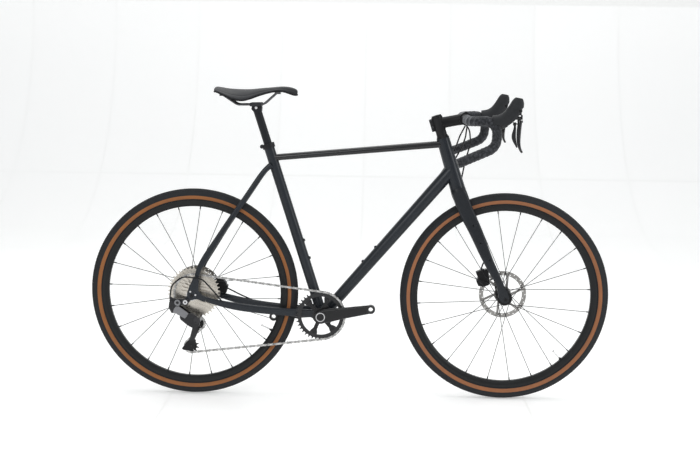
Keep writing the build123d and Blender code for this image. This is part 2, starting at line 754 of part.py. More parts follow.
def fork():
    """Crown, two blades, steerer and dropouts."""
    down = on_steer(0) - on_steer(10)
    crown = shaped([(on_steer(HEAD_LOW - CLEAR), down, 50, 49.6), (on_steer(-203), down, 62, 51),
                    (on_steer(-222), down, 88, 49)])
    solid = crown
    for sign in (-1, 1):
        solid += stay(FORK_LEG, sign)
        tip = [(1013, 392), (1019, 356), (1027, 342), (1044, 338), (1052, 345), (1053.5, 358), (1047, 378),
               (1038, 394)]
        solid += plate(tip, sign * FRONT_GAP, sign * (FRONT_GAP + 12.5), 5.0)
    steerer = rod(on_steer(-140), on_steer(56), STEERER_R)
    steerer += cone(on_steer(-180), on_steer(-139), STEERER_LOW_R, STEERER_R)
    steerer += rod(on_steer(-200), on_steer(-180), STEERER_LOW_R)
    solid -= tyre_space(WHEELBASE, WHEEL_R + 9, 27.5)
    solid += steerer
    solid -= rod(on_steer(-150), on_steer(60), 12.0)
    for sign in (-1, 1):
        solid -= across(WHEELBASE, WHEEL_R, sign * 40, sign * 70, AXLE_R)
        for x, z, y in ((929.4, 595, 50), (955.1, 537.2, 54), (986.3, 480.8, 56)):
            solid -= across(x, z, sign * (y - 9), sign * (y + 12), 2.5)
    return solid


def spacers():
    """Headset cover, two spacers and the top cap."""
    bore = STEERER_R + 0.02
    cover = cone(on_steer(HEAD_HIGH + CLEAR), on_steer(-9), 21.3, 18.0) - rod(on_steer(-20), on_steer(0),
                                                                              bore)
    first = tube(on_steer(-9), on_steer(1), 17.5, bore)
    second = tube(on_steer(1), on_steer(10.5), 17.3, bore)
    cap = rod(on_steer(56.6), on_steer(61), 16.5) - rod(on_steer(58.5), on_steer(62), 4.5)
    bolt = rod(on_steer(58.5), on_steer(62.0), 4.2)
    return [cover, first, second, cap, bolt]


STEM_RISE = 10.7


def stem_axes():
    forward = Vector(cos(radians(STEM_RISE)), 0, sin(radians(STEM_RISE)))
    upward = Vector(-forward.Z, 0, forward.X)
    return forward, upward


def stem_front(grow):
    return across(BAR_X, BAR_Z, -22, 22, BAR_CLAMP_R + grow)


def faceplate_space(gap):
    """Everything ahead of the bar's centre, square to the stem."""
    forward, upward = stem_axes()
    centre = pt(BAR_X, BAR_Z) + forward * (30 + gap)
    return Plane(origin=centre, x_dir=forward, z_dir=upward).location * Box(60, 80, 80)


def stem():
    forward, upward = stem_axes()
    clamp = rod(on_steer(10.5), on_steer(56.0), 18.8)
    root = on_steer(33)
    neck = shaped([(root, forward, 35, 38), (pt(BAR_X, BAR_Z) - forward * 34, forward, 33, 36),
                   (pt(BAR_X, BAR_Z), forward, 44, 38)])
    back = shaped([(on_steer(6) + Vector(-20, 0, 0), on_steer(1) - on_steer(0), 22, 17),
                   (on_steer(47) + Vector(-20, 0, 0), on_steer(1) - on_steer(0), 22, 17)])
    solid = clamp + neck + back + stem_front(5.2)
    solid -= faceplate_space(-0.6)
    solid -= rod(on_steer(0), on_steer(70), STEERER_R + 0.01)
    solid -= stem_front(0.0)
    rear = on_steer(33) + Vector(-26, 0, 0)
    solid -= block(rear.X - 20, rear.X + 16, -0.9, 0.9, 890, 960)
    return solid


def stem_faceplate():
    forward, upward = stem_axes()
    solid = stem_front(5.0)
    for sign in (-1, 1):
        centre = pt(BAR_X, BAR_Z) + upward * (sign * 18.5) + forward * 3.5
        solid += Plane(origin=centre, x_dir=forward, z_dir=upward).location * Box(9.0, 44, 9)
    solid = solid & faceplate_space(0.6)
    return solid - stem_front(0.0)


def steering_bolts():
    """Four faceplate bolts and two steerer clamp bolts."""
    forward, upward = stem_axes()
    result = []
    for up in (-18.8, 18.8):
        for y in (-15.0, 15.0):
            base = pt(BAR_X, BAR_Z, y) + upward * up + forward * 8.0
            result.append(rod(base, base + forward * 3.6, 3.8))
    for s in (20.0, 44.0):
        centre = on_steer(s) + Vector(-23.5, 0, 0)
        result.append(rod(centre + Vector(0, -13.5, 0), centre + Vector(0, -11, 0), 3.8))
    return result


def bar_points(sign):
    """Corners of the handlebar's path on one side, from the middle outwards."""
    return [pt(BAR_X, BAR_Z, sign * 203), pt(984, 948.5, sign * 207), pt(980, 866, sign * 227),
            pt(860, 815.5, sign * 247)]


def handlebar():
    right = bar_points(-1)
    left = bar_points(1)
    path = [p for p in reversed(left)] + right
    bends = pipe(path, 44.0, BAR_R)
    centre = across(BAR_X, BAR_Z, -34, 34, BAR_CLAMP_R)
    for sign in (-1, 1):
        centre += cone(pt(BAR_X, BAR_Z, sign * 33), pt(BAR_X, BAR_Z, sign * 74), BAR_CLAMP_R, BAR_R + 0.4)
    return bends + centre


def bar_tape():
    """Tape along the whole of each side, from the bulge to the bar's end."""
    starts = [pt(BAR_X, BAR_Z, sign * 76) for sign in (-1, 1)]
    return [pipe([start] + bar_points(sign), 44.0, TAPE_R, BAR_R + 0.02) for start,
            sign in zip(starts, (-1, 1))]


HOOD = [(968, 943, 40, 44), (990, 945, 38, 46), (1010, 954, 35, 46), (1028, 971, 33, 47),
        (1040, 990, 31, 46), (1046, 1008, 29, 38),
        (1048, 1021, 20, 22)]
HOOD_LEAN = [3, 12, 32, 48, 58, 70, 80]


def hood_body(sign, inset):
    sections = []
    for i, ((x, z, width, height), lean) in enumerate(zip(HOOD, HOOD_LEAN)):
        a = radians(lean)
        outward = 206.0 + (x - 968.0) * 0.05
        origin = pt(x, z, sign * outward)
        if inset and i == 0:
            origin = origin + Vector(inset, 0, 0)
        if inset and i == len(HOOD) - 1:
            origin = origin - Vector(0, 0, inset)
        sections.append((origin, Vector(cos(a), 0, sin(a)), width, height))
    return shaped(sections, inset)


def bar_and_tape(sign):
    corners = bar_points(sign)
    start = pt(BAR_X, BAR_Z, sign * 76)
    return pipe([start] + corners, 44.0, TAPE_R + 0.02)


LEVER_PIVOT = (1050.0, 981.0)


LEVER_Y = 211.0            # middle of each lever's slot
SLOT_HALF = 8.6


def lever_slot(sign):
    """Room under the bracket's nose for the lever's head and its pull."""
    x, z = LEVER_PIVOT
    y = sign * LEVER_Y
    room = across(x, z, y - SLOT_HALF, y + SLOT_HALF, 11.5)
    outline = [(x - 10, z + 4), (x + 30, z + 10), (x + 30, z - 60), (x - 38, z - 60), (x - 27, z - 24)]
    return room + plate(outline, y - SLOT_HALF, y + SLOT_HALF)


def bracket_and_hood(sign):
    taped = bar_and_tape(sign)
    slot = lever_slot(sign)
    core = hood_body(sign, 2.8)
    hood = hood_body(sign, 0.0) - core - taped - slot
    bracket = core - taped - slot
    x, z = LEVER_PIVOT
    pin = across(x, z, sign * LEVER_Y - 11.0, sign * LEVER_Y + 11.0, 2.5)
    return bracket - across(x, z, sign * 190, sign * 230, 2.5), hood - across(x, z, sign * 190, sign * 230,
                                                                              4.0), pin


LEVER = [(1053.5, 960, 211.5, 12, 15), (1052.5, 946, 213, 13, 14), (1049.5, 922, 221, 12, 14),
         (1047.5, 892, 232, 11, 12.5),
         (1050, 868, 243, 9.5, 9), (1057.5, 853, 249.5, 8, 6.5)]
SWING = (1050.0, 958.0)    # pin the right blade swings sideways on, along X


def lever_head(sign):
    """The part of a lever that turns on the bracket's pin."""
    x, z = LEVER_PIVOT
    y = sign * LEVER_Y
    head = across(x, z, y - 6.6, y + 6.6, 8.5)
    head += block(x - 6.5, x + 6.5, y - 6.6, y + 6.6, z - 14, z)
    return head - across(x, z, y - 20, y + 20, 2.5 + RUNNING)


def left_lever():
    x, z = LEVER_PIVOT
    neck = block(x - 5, x + 12, LEVER_Y - 6.0, LEVER_Y + 6.0, z - 26, z - 8)
    return lever_head(1) + neck + stay(LEVER, 1) - across(x, z, LEVER_Y - 20, LEVER_Y + 20, 2.5 + RUNNING)


def lever_pivot():
    """Knuckle between the right bracket's pin and the swinging blade."""
    x, z = SWING
    head = lever_head(-1)
    for x0 in (x - 10.0, x + 5.5):
        head += block(x0, x0 + 4.5, -LEVER_Y - 5.5, -LEVER_Y + 5.5, z - 5.0, z + 10.5)
    return head + rod(pt(x - 10.0, z, -LEVER_Y), pt(x + 10.0, z, -LEVER_Y), 2.0)


def right_lever():
    """The right blade, swinging on the knuckle's pin, with a pin for the paddle behind it."""
    x, z = SWING
    eye = rod(pt(x - 5.2, z, -LEVER_Y), pt(x + 5.2, z, -LEVER_Y), 5.2)
    neck = block(x - 5.0, x + 11.0, -LEVER_Y - 5.5, -LEVER_Y + 5.5, z - 14.0, z - 6.8)
    blade = stay(LEVER, -1) - block(x - 40, x + 40, -260, -180, z - 6.9, z + 40)
    link = block(x - 4.9, x + 4.9, -LEVER_Y - 4.0, -LEVER_Y + 4.0, z - 8.0, z - 2.0)
    paddle_pin = rod(pt(x - 19.0, z - 18.0, -PADDLE_Y), pt(x + 2.0, z - 18.0, -PADDLE_Y), 2.0)
    solid = eye + link + neck + blade + paddle_pin
    return solid - rod(pt(x - 20, z, -LEVER_Y), pt(x + 20, z, -LEVER_Y), 2.0 + RUNNING)


PADDLE_Y = 213.5
PADDLE = [(1036, 938, 213.5, 8, 8), (1034.5, 915, 221, 7, 11), (1033, 896, 231, 5, 13),
          (1038, 879, 238.5, 4.5, 8),
          (1042, 868, 242, 4, 4.5)]


def shift_paddle():
    """Slim paddle behind the right blade, on the pin at the blade's back."""
    x, z = SWING
    knuckle = rod(pt(x - 18.5, z - 18.0, -PADDLE_Y), pt(x - 9.5, z - 18.0, -PADDLE_Y), 5.0)
    solid = stay(PADDLE, -1) + knuckle
    return solid - rod(pt(x - 30, z - 18.0, -PADDLE_Y), pt(x - 5, z - 18.0, -PADDLE_Y), 2.0 + RUNNING)


# ------------------------------------------------------------------ brakes
def caliper_body(x, z, length, height, rotor_y, turn, axle_x, slot_r):
    """A rounded body, cut open where the rotor and the pads run."""
    body = block(x - length / 2, x + length / 2, rotor_y - 12.5, rotor_y + 15.5, z - height / 2,
                 z + height / 2, turn)
    body = fillet(body.edges(), 3.5)
    return body - across(axle_x, WHEEL_R, rotor_y - 5.6, rotor_y + 5.6, slot_r)


def front_caliper():
    """Caliper behind the left blade, with its two bolts into the blade."""
    x, z, turn = 973.5, 406.0, -24.0
    solid = caliper_body(x, z, 30.0, 56.0, FRONT_ROTOR_Y, turn, WHEELBASE, 87.0)
    side = plate([(951, 395), (964, 421), (983, 438), (992, 430), (996, 384), (978, 377), (958, 379)],
                 FRONT_ROTOR_Y - 12.0, FRONT_ROTOR_Y + 14.0, 5.0)
    solid += side - across(WHEELBASE, WHEEL_R, FRONT_ROTOR_Y - 5.6, FRONT_ROTOR_Y + 5.6, 87.0)
    a = radians(-turn)
    ahead, upward = Vector(cos(a), 0, sin(a)), Vector(-sin(a), 0, cos(a))
    for d in (-19.0, 19.0):
        c = pt(x, z, FRONT_ROTOR_Y + 11.5) + upward * d
        solid += rod(c, c + ahead * 42.0, 3.0)
    return solid


def rear_caliper():
    """Caliper on top of the left chain stay, with the lobe that holds its lever of fluid ports."""
    body = caliper_body(82.0, 355.0, 44.0, 29.0, REAR_ROTOR_Y, 15.0, 0.0, 90.0)
    lobe = plate([(60, 354), (59, 374), (64, 386), (75, 391), (90, 385), (101, 370), (101, 352)],
                 REAR_ROTOR_Y - 9.0, REAR_ROTOR_Y + 13.0, 5.0)
    lobe -= across(0.0, WHEEL_R, REAR_ROTOR_Y - 5.6, REAR_ROTOR_Y + 5.6, 90.0)
    return body + lobe


def pad(x, z, rotor_y, sign, turn):
    """A brake pad on its backing plate, half a millimetre off the rotor."""
    face = rotor_y + sign * (ROTOR_THICK / 2 + 0.5)
    friction = block(x - 9, x + 9, face, face + sign * 2.0, z - 8, z + 8, turn)
    backing = block(x - 10, x + 10, face + sign * 2.0, face + sign * 3.4, z - 9, z + 9, turn)
    return friction + backing


# ------------------------------------------------------------------ derailleur
DERAILLEUR_PIVOT = (-45.2, 328.4)


def derailleur_linkage():
    """B-knuckle, two parallel links and the P-knuckle, held in the present gear."""
    px, pz = DERAILLEUR_PIVOT
    cx, cz = CAGE_PIVOT
    body = plate([(-10, 339), (-10, 324), (-26, 320), (-46, 315), (-64, 320), (-73, 332), (-71, 343),
                  (-52, 341)],
                 -79.0, -87.0, 3.0)
    boss = across(px, pz, -74, -92, 11.5) + ring_across(px, pz, -92, -94.0, 10.0, 5.0)
    barrel = rod(pt(-52, 331, -84), pt(-71.3, 343.1, -84), 4.6)
    fixing = across(-20, 329, -71.5, -79.0, 4.9) + across(-20, 329, -79.0, -87.0, 10.5)
    fixing += ring_across(-20, 329, -87.0, -89.5, 7.5, 3.0)
    hood = plate([(-73, 330), (-60, 334), (-50, 322), (-43, 301), (-49, 291), (-66, 293), (-75, 311)],
                 -74.0, -90.0, 4.0)
    outer = plate([(-55, 309), (-42, 317), (-8, 293), (-20, 275), (-48, 290)], -90.0, -94.0, 3.0)
    inner = plate([(-60, 318), (-52, 293), (-6, 262), (18, 262), (20, 276), (-38, 314)], -68.0, -74.0, 4.0)
    knuckle = plate([(-22, 289), (4, 292), (18, 282), (28, 264), (25, 247), (12, 240), (-4, 246),
                     (-16, 254), (-36, 270),
                     (-40, 281)], -72.0, -88.0, 4.0)
    knee = across(cx, cz, -48.0, -90.0, 12.0) - across(cx, cz, -48.0, -64.0, 5.0 + RUNNING)
    solid = body + boss + barrel + fixing + hood + outer + inner + knuckle + knee
    for x, z in ((-46, 303), (-18, 284)):
        solid += across(x, z, -74.0, -95.0, 4.2)
    return solid


def cage_outline(tension):
    """Outline of the cage's plates around both pulleys."""
    gx, gz = GUIDE_PULLEY
    tx, tz = tension
    return [(gx + 11, gz + 12), (gx + 15, gz + 2), (gx + 6, gz - 15), (tx + 18, tz + 38), (tx + 11, tz + 22),
            (tx + 16, tz + 8), (tx + 13, tz - 8), (tx + 2, tz - 15), (tx - 24, tz - 14), (tx - 32, tz - 9),
            (tx - 17, tz + 13), (tx - 7, tz + 22), (tx - 2, tz + 38), (gx - 19, gz - 14), (gx - 11, gz + 6)]


def derailleur_cage(tension):
    y = SPROCKET_Y0 + SPROCKET_STEP * ENGAGED
    gx, gz = GUIDE_PULLEY
    tx, tz = tension
    cx, cz = CAGE_PIVOT
    outline = cage_outline(tension)
    outer = plate(outline, y - 5.0, y - 7.2, 2.0)
    inner = plate(outline, y + 5.0, y + 6.8, 2.0)
    pivot = across(cx, cz, y - 5.0, -62.0, 5.0) + across(cx, cz, y - 5.0, -47.5, 9.0)
    tab = plate([(gx - 9, gz + 6), (cx - 9, cz + 5), (cx, cz + 9), (cx + 10, cz + 4), (gx + 13, gz + 6)],
                y - 5.0, y - 7.2, 1.5)
    solid = outer + inner + pivot + tab
    for x, z in ((gx, gz), (tx, tz)):
        solid += across(x, z, y - 8.5, y + 8.0, 3.0)
    return solid


def pulley(centre, phase):
    y = SPROCKET_Y0 + SPROCKET_STEP * ENGAGED
    solid = toothed(PULLEY_TEETH, y, 1.8, phase, 3.0 + RUNNING)
    solid += ring_across(0, 0, y - 2.6, y + 2.6, 9.0, 3.0 + RUNNING)
    for angle in around(5, 10.0):
        p = polar(0, 0, 13.0, angle)
        solid -= across(p.X, p.Z, y - 5, y + 5, 2.4)
    return Pos(centre[0], 0, centre[1]) * solid


# ------------------------------------------------------------------ hoses
DT_AXIS = (DOWN_TUBE_HIGH - DOWN_TUBE_LOW).normalized()
DT_NORMAL = Vector(-DT_AXIS.Z, 0, DT_AXIS.X)


def in_down_tube(d, offset, y):
    p = DOWN_TUBE_LOW + DT_AXIS * d + DT_NORMAL * offset
    return Vector(p.X, y, p.Z)


PORT_D = 596.0


def rear_hose_route():
    """Upper port on the left, inside to the left chain stay, along it to the caliper."""
    return [in_down_tube(PORT_D - 14, 12.0, 24.5), in_down_tube(PORT_D - 80, 6.0, 13),
            in_down_tube(360, 5.0, 8),
            in_down_tube(220, 2.0, 8), in_down_tube(34, -8.5, 9), pt(441, 267.0, 10), pt(424, 261.8, 13),
            pt(402, 270, 22),
            pt(380, 284, 30), pt(345, 289.5, 33.5), pt(223.6, 299.5, 43.5),
            pt(182, 317, 50), pt(146, 331, 56), pt(116, 345, 60), pt(98, 354, 61)]


def housing_route():
    """Lower port on the left, inside to the right chain stay, out and round to the derailleur."""
    return [in_down_tube(PORT_D + 6, -1.0, 24.5), in_down_tube(PORT_D - 66, -4.0, 13),
            in_down_tube(360, -6.0, 8),
            in_down_tube(220, -6.0, -8), in_down_tube(34, -8.5, -9), pt(441, 267.0, -10),
            pt(424, 261.8, -13), pt(402, 270, -22),
            pt(380, 284, -30), pt(345, 289.5, -33.5), pt(223.6, 299.5, -43.5),
            pt(151.6, 310, -53), pt(105, 321, -61), pt(76, 362, -76), pt(36, 408, -82), pt(-30, 415, -83),
            pt(-66, 385, -84), pt(-71.3, 343.1, -84)]


def front_hose_route():
    return [pt(900, 928, 60), pt(916, 905, 46), pt(920, 862, 38), pt(903, 800, 37), pt(893, 745, 37),
            pt(891, 700, 37), pt(898, 665, 37),
            pt(925.7, 600.4, 42), pt(962.9, 520.7, 48), pt(984, 474, 50), pt(972, 448, 48), pt(966, 428, 47)]


def control_hoses():
    """Rear brake hose and shift housing from the bar, past the head tube's left side, to their two ports."""
    brake = [pt(893, 924, -62), pt(878, 889, -36), pt(868, 847, 8), pt(861, 822, 26), pt(850, 800, 34),
             pt(822, 758, 34),
             in_down_tube(PORT_D - 13, 12.2, 25.8)]
    shift = [pt(899, 926, -70), pt(897, 886, -34), pt(889, 849, 8), pt(871, 812, 30), pt(842, 768, 33),
             in_down_tube(PORT_D + 7, -0.8, 25.8)]
    return [pipe(brake, 60.0, HOSE_R), pipe(shift, 60.0, HOSE_R)]


# ------------------------------------------------------------------ seat
SADDLE = [(69, 1033, 38, 1028), (84, 1037.5, 59, 1025), (113, 1033, 70, 1013), (142, 1031, 70, 1002.5),
          (172, 1030.5, 61, 1000.5), (196, 1031.5, 48, 1008), (227, 1035, 34, 1019), (259, 1038, 26, 1027.5),
          (291, 1041, 22, 1030), (320, 1039, 18, 1022), (336, 1034, 14, 1018), (344, 1028, 8, 1020)]
PAD_THICK = 11.0
SHELL_THICK = 3.0


def saddle_skin(drop, thick, trim):
    """Loft of arched strips: drop lowers the top arc, trim narrows it."""
    faces = []
    for x, top, half, edge in SADDLE:
        w = half - trim
        high = edge - drop * 0.45
        low = high - thick * 0.45
        plane = Plane(origin=(x, 0, 0), x_dir=(0, 1, 0), z_dir=(1, 0, 0))
        upper = ThreePointArc((-w, high), (0, top - drop), (w, high))
        lower = ThreePointArc((w - 0.8, low), (0, top - drop - thick), (-w + 0.8, low))
        right = Line((w, high), (w - 0.8, low))
        left = Line((-w + 0.8, low), (-w, high))
        faces.append(plane * make_face([upper, right, lower, left]))
    return loft(faces)


def saddle_pad():
    return saddle_skin(0.0, PAD_THICK, 0.0)


def saddle_shell():
    return saddle_skin(PAD_THICK + 0.1, SHELL_THICK, 1.0)


def rail_route(sign):
    return [pt(98, 1013, sign * 24), pt(146, 981.3, sign * 22), pt(232, 982.6, sign * 22),
            pt(278, 1024, sign * 11)]


def saddle_rails(shell):
    """Two rails joined at the nose, each with a block under the saddle's back."""
    pads = []
    for sign in (-1, 1):
        rail = pipe(rail_route(sign), 28.0, RAIL_R)
        rail += block(88, 108, sign * 17, sign * 31, 1009, 1025)
        pads.append(rail)
    nose = block(268, 287, -15.5, 15.5, 1017, 1031)
    return largest(pads[0] + pads[1] + nose - shell - saddle_pad())


def seatpost():
    """Round post with a head that grips the rails."""
    low, high = pt(seat_x(690), 690), pt(seat_x(966), 966)
    solid = rod(low, high, SEATPOST_R) - rod(low, pt(seat_x(945), 945), SEATPOST_R - 1.8)
    hx = seat_x(972)
    head = [(191, 967), (195, 986), (221, 987), (226, 974), (225, 958), (205, 952), (197, 960)]
    solid += plate(head, -15.5, 15.5, 4.0)
    solid += across(207.6, 971.7, -20.0, 20.0, 5.0)
    for sign in (-1, 1):
        solid += plate([(hx - 20, 976), (hx + 20, 977), (hx + 19, 989), (hx - 20, 988)], sign * 15.0,
                       sign * 28.0, 3.0)
    for sign in (-1, 1):
        solid -= pipe(rail_route(sign), 28.0, RAIL_R)
    return solid


# ------------------------------------------------------------------ build
def build_wheels():
    for name, x, start, rotor_y in (("front", WHEELBASE, FRONT_SPOKE_START, FRONT_ROTOR_Y),
                                    ("rear", 0.0, REAR_SPOKE_START, REAR_ROTOR_Y)):
        valve_angle = 313.0 if name == "front" else 333.5
        save(name + "_tyre", at_wheel(tyre(), x))
        save(name + "_rim", at_wheel(rim() + valve(valve_angle), x))
        left, right = (26.2, -31.2) if name == "front" else (33.8, -19.3)
        save(name + "_spokes", *[at_wheel(s, x) for s in spokes(start, left, right)])
        hub = front_hub() if name == "front" else rear_hub()
        save(name + "_hub", at_wheel(hub, x))
        save(name + "_rotor", at_wheel(rotor(rotor_y, 17.05), x))


def build_drive():
    cage, total = settle_cage()
    points, phases = chain_points(cage, total)
    tension = tension_pulley_at(cage)
    print("cage", cage, "links", total, "tension pulley", tension)
    save("chain", *chain(points))
    save("cassette", at_wheel(cassette(phases), 0.0))
    save("freehub_body", at_wheel(freehub(), 0.0))
    save("chainring", chainring(phases[0]))
    save("crank_arm_right", right_crank(), crank_cap())
    save("crank_arm_left", *left_crank())
    save("derailleur_linkage", derailleur_linkage())
    save("derailleur_cage", derailleur_cage(tension))
    save("guide_pulley", pulley(GUIDE_PULLEY, phases[2]))
    save("tension_pulley", pulley(tension, phases[1]))


def build_frame():
    shell = bb_core()
    rear_hose = pipe(rear_hose_route(), 40.0, HOSE_R)
    housing = pipe(housing_route(), 40.0, HOSE_R)
    channels = [pipe(r, 40.0, HOSE_R + 0.4) for r in (rear_hose_route(), housing_route())]
    save("head_tube", head_tube())
    save("seat_tube", bored(seat_tube(shell), channels))
    save("top_tube", top_tube())
    save("down_tube", bored(down_tube(shell), channels))
    save("bottom_bracket_shell", bored(bb_shell(), channels))
    save("frame_bearings", *headset_cups(), *bb_bearings())
    save("chainstays", *[bored(solid, channels) for solid in chainstays(shell)])
    save("seatstays", *seatstays())
    save("dropouts", dropout(-1) + hanger(), dropout(1))
    save("seat_clamp", seat_clamp())
    save("frame_bolts", *frame_bolts())
    save("rear_thru_axle", thru_axle(0.0, REAR_GAP, 8.5))
    save("rear_caliper", rear_caliper())
    save("rear_brake_hose", rear_hose)
    save("shift_housing", housing)


def build_steering():
    hose = pipe(front_hose_route(), 40.0, HOSE_R)
    channel = pipe(front_hose_route(), 40.0, HOSE_R + 0.3)
    save("fork", fork() - channel)
    save("headset_spacers", *spacers())
    save("stem", stem())
    save("stem_faceplate", stem_faceplate())
    save("steering_bolts", *steering_bolts())
    save("handlebar", handlebar())
    save("bar_tape", *bar_tape())
    save("front_thru_axle", thru_axle(WHEELBASE, FRONT_GAP, 13.0))
    save("front_caliper", front_caliper())
    save("front_brake_hose", hose)
    save("control_hoses", *control_hoses())
    right = bracket_and_hood(-1)
    left = bracket_and_hood(1)
    save("lever_brackets", right[0], left[0], right[2], left[2])
    save("brake_hoods", right[1], left[1])
    save("brake_lever_left", left_lever())
    save("lever_pivot_right", lever_pivot())
    save("brake_lever_right", right_lever())
    save("shift_paddle", shift_paddle())


def build_seat():
    shell = saddle_shell()
    save("seatpost", seatpost())
    save("saddle_rails", saddle_rails(shell))
    save("saddle_shell", shell)
    save("saddle_pad", saddle_pad())


def build_pads():
    for name, x, z, y, turn in (("front", 985.5, 390.0, FRONT_ROTOR_Y, -24.0),
                                ("rear", 73.0, 352.0, REAR_ROTOR_Y, 15.0)):
        save(name + "_pad_inner", pad(x, z, y, -1, turn))
        save(name + "_pad_outer", pad(x, z, y, 1, turn))


os.makedirs("parts", exist_ok=True)
build_wheels()
build_drive()
build_frame()
build_steering()
build_seat()
build_pads()
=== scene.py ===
"""Visual model of a gravel road bicycle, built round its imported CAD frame."""
from math import atan2, cos, pi, radians, sin, tan

import bmesh
import bpy
from mathutils import Matrix, Vector


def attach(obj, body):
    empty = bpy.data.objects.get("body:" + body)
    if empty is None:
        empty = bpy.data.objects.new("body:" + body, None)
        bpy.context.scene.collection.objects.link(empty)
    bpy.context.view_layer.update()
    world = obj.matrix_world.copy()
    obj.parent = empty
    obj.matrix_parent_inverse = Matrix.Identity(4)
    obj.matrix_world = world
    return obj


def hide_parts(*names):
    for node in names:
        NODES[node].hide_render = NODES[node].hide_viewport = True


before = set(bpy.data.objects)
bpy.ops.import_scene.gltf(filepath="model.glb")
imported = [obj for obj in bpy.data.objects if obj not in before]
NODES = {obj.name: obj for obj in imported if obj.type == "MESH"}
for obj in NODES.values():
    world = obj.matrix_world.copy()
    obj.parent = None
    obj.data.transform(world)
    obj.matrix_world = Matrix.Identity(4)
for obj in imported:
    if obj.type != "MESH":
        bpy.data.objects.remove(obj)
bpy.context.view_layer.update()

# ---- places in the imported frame, metres ----
SHIFT = 0.521                       # rear axle to the frame's origin
REAR = Vector((-SHIFT, 0, 0.350))
FRONT = Vector((SHIFT, 0, 0.350))


def pt(x, z, y=0.0):
    """A point given in mm ahead of the rear axle, above the ground and to the left."""
    return Vector((x / 1000 - SHIFT, y / 1000, z / 1000))


# ------------------------------------------------------------------ materials
def new_material(name):
    mat = bpy.data.materials.new(name)
    mat.use_nodes = True
    nodes = mat.node_tree.nodes
    return mat, nodes, mat.node_tree.links, nodes["Principled BSDF"]


def mix_colour(nodes, links, factor, a, b):
    """A mix of two colours, either of which may be a socket."""
    mix = nodes.new("ShaderNodeMix")
    mix.data_type = "RGBA"
    links.new(factor, mix.inputs["Factor"])
    for socket, value in ((mix.inputs[6], a), (mix.inputs[7], b)):
        if isinstance(value, (tuple, list)):
            socket.default_value = (*value[:3], 1.0)
        else:
            links.new(value, socket)
    return mix.outputs[2]


def scaled(colour, factor, lift=0.0):
    """A colour made darker or lighter."""
    return tuple(min(1.0, c * factor + lift) for c in colour)


def noise(nodes, links, vector, scale, detail=4.0, rough=0.55):
    tex = nodes.new("ShaderNodeTexNoise")
    tex.inputs["Scale"].default_value = scale
    tex.inputs["Detail"].default_value = detail
    tex.inputs["Roughness"].default_value = rough
    links.new(vector, tex.inputs["Vector"])
    return tex.outputs["Fac"]


def remap(nodes, links, value, low, high, to_low, to_high):
    node = nodes.new("ShaderNodeMapRange")
    for socket, number in zip(("From Min", "From Max", "To Min", "To Max"), (low, high, to_low, to_high)):
        node.inputs[socket].default_value = number
    links.new(value, node.inputs["Value"])
    return node.outputs["Result"]


def bump(nodes, links, height, strength, distance, under=None):
    node = nodes.new("ShaderNodeBump")
    node.inputs["Strength"].default_value = strength
    node.inputs["Distance"].default_value = distance
    links.new(height, node.inputs["Height"])
    if under is not None:
        links.new(under, node.inputs["Normal"])
    return node.outputs["Normal"]


def coordinates(nodes, links, stretch=(1, 1, 1)):
    coord = nodes.new("ShaderNodeTexCoord")
    place = nodes.new("ShaderNodeMapping")
    place.inputs["Scale"].default_value = stretch
    links.new(coord.outputs["Object"], place.inputs["Vector"])
    return place.outputs["Vector"]


def surface(name, base, rough=0.4, metal=0.0, coat=0.0, coat_rough=0.08, vary=0.12, patch=30.0,
            rough_vary=0.08,
            grain=900.0, grain_depth=0.00004, grain_strength=0.3, stretch=(1, 1, 1), edge=0.0, sheen=0.0,
            spec=0.25):
    """A finish whose colour and roughness wander, with a fine grain and lighter worn edges."""
    mat, nodes, links, shader = new_material(name)
    vector = coordinates(nodes, links, stretch)
    wander = noise(nodes, links, vector, patch)
    colour = mix_colour(nodes, links, remap(nodes, links, wander, 0.3, 0.7, 0.0, 1.0),
                        scaled(base, 1 - vary), scaled(base, 1 + vary))
    if edge:
        geo = nodes.new("ShaderNodeNewGeometry")
        worn = remap(nodes, links, geo.outputs["Pointiness"], 0.52, 0.60, 0.0, edge)
        colour = mix_colour(nodes, links, worn, colour, scaled(base, 2.2, 0.05))
    links.new(colour, shader.inputs["Base Color"])
    fine = noise(nodes, links, vector, grain, 3.0)
    links.new(remap(nodes, links, wander, 0.3, 0.7, rough - rough_vary, rough + rough_vary),
              shader.inputs["Roughness"])
    links.new(bump(nodes, links, fine, grain_strength, grain_depth), shader.inputs["Normal"])
    shader.inputs["Metallic"].default_value = metal
    shader.inputs["Coat Weight"].default_value = coat
    shader.inputs["Coat Roughness"].default_value = coat_rough
    shader.inputs["Sheen Weight"].default_value = sheen
    shader.inputs["Specular IOR Level"].default_value = spec
    return mat


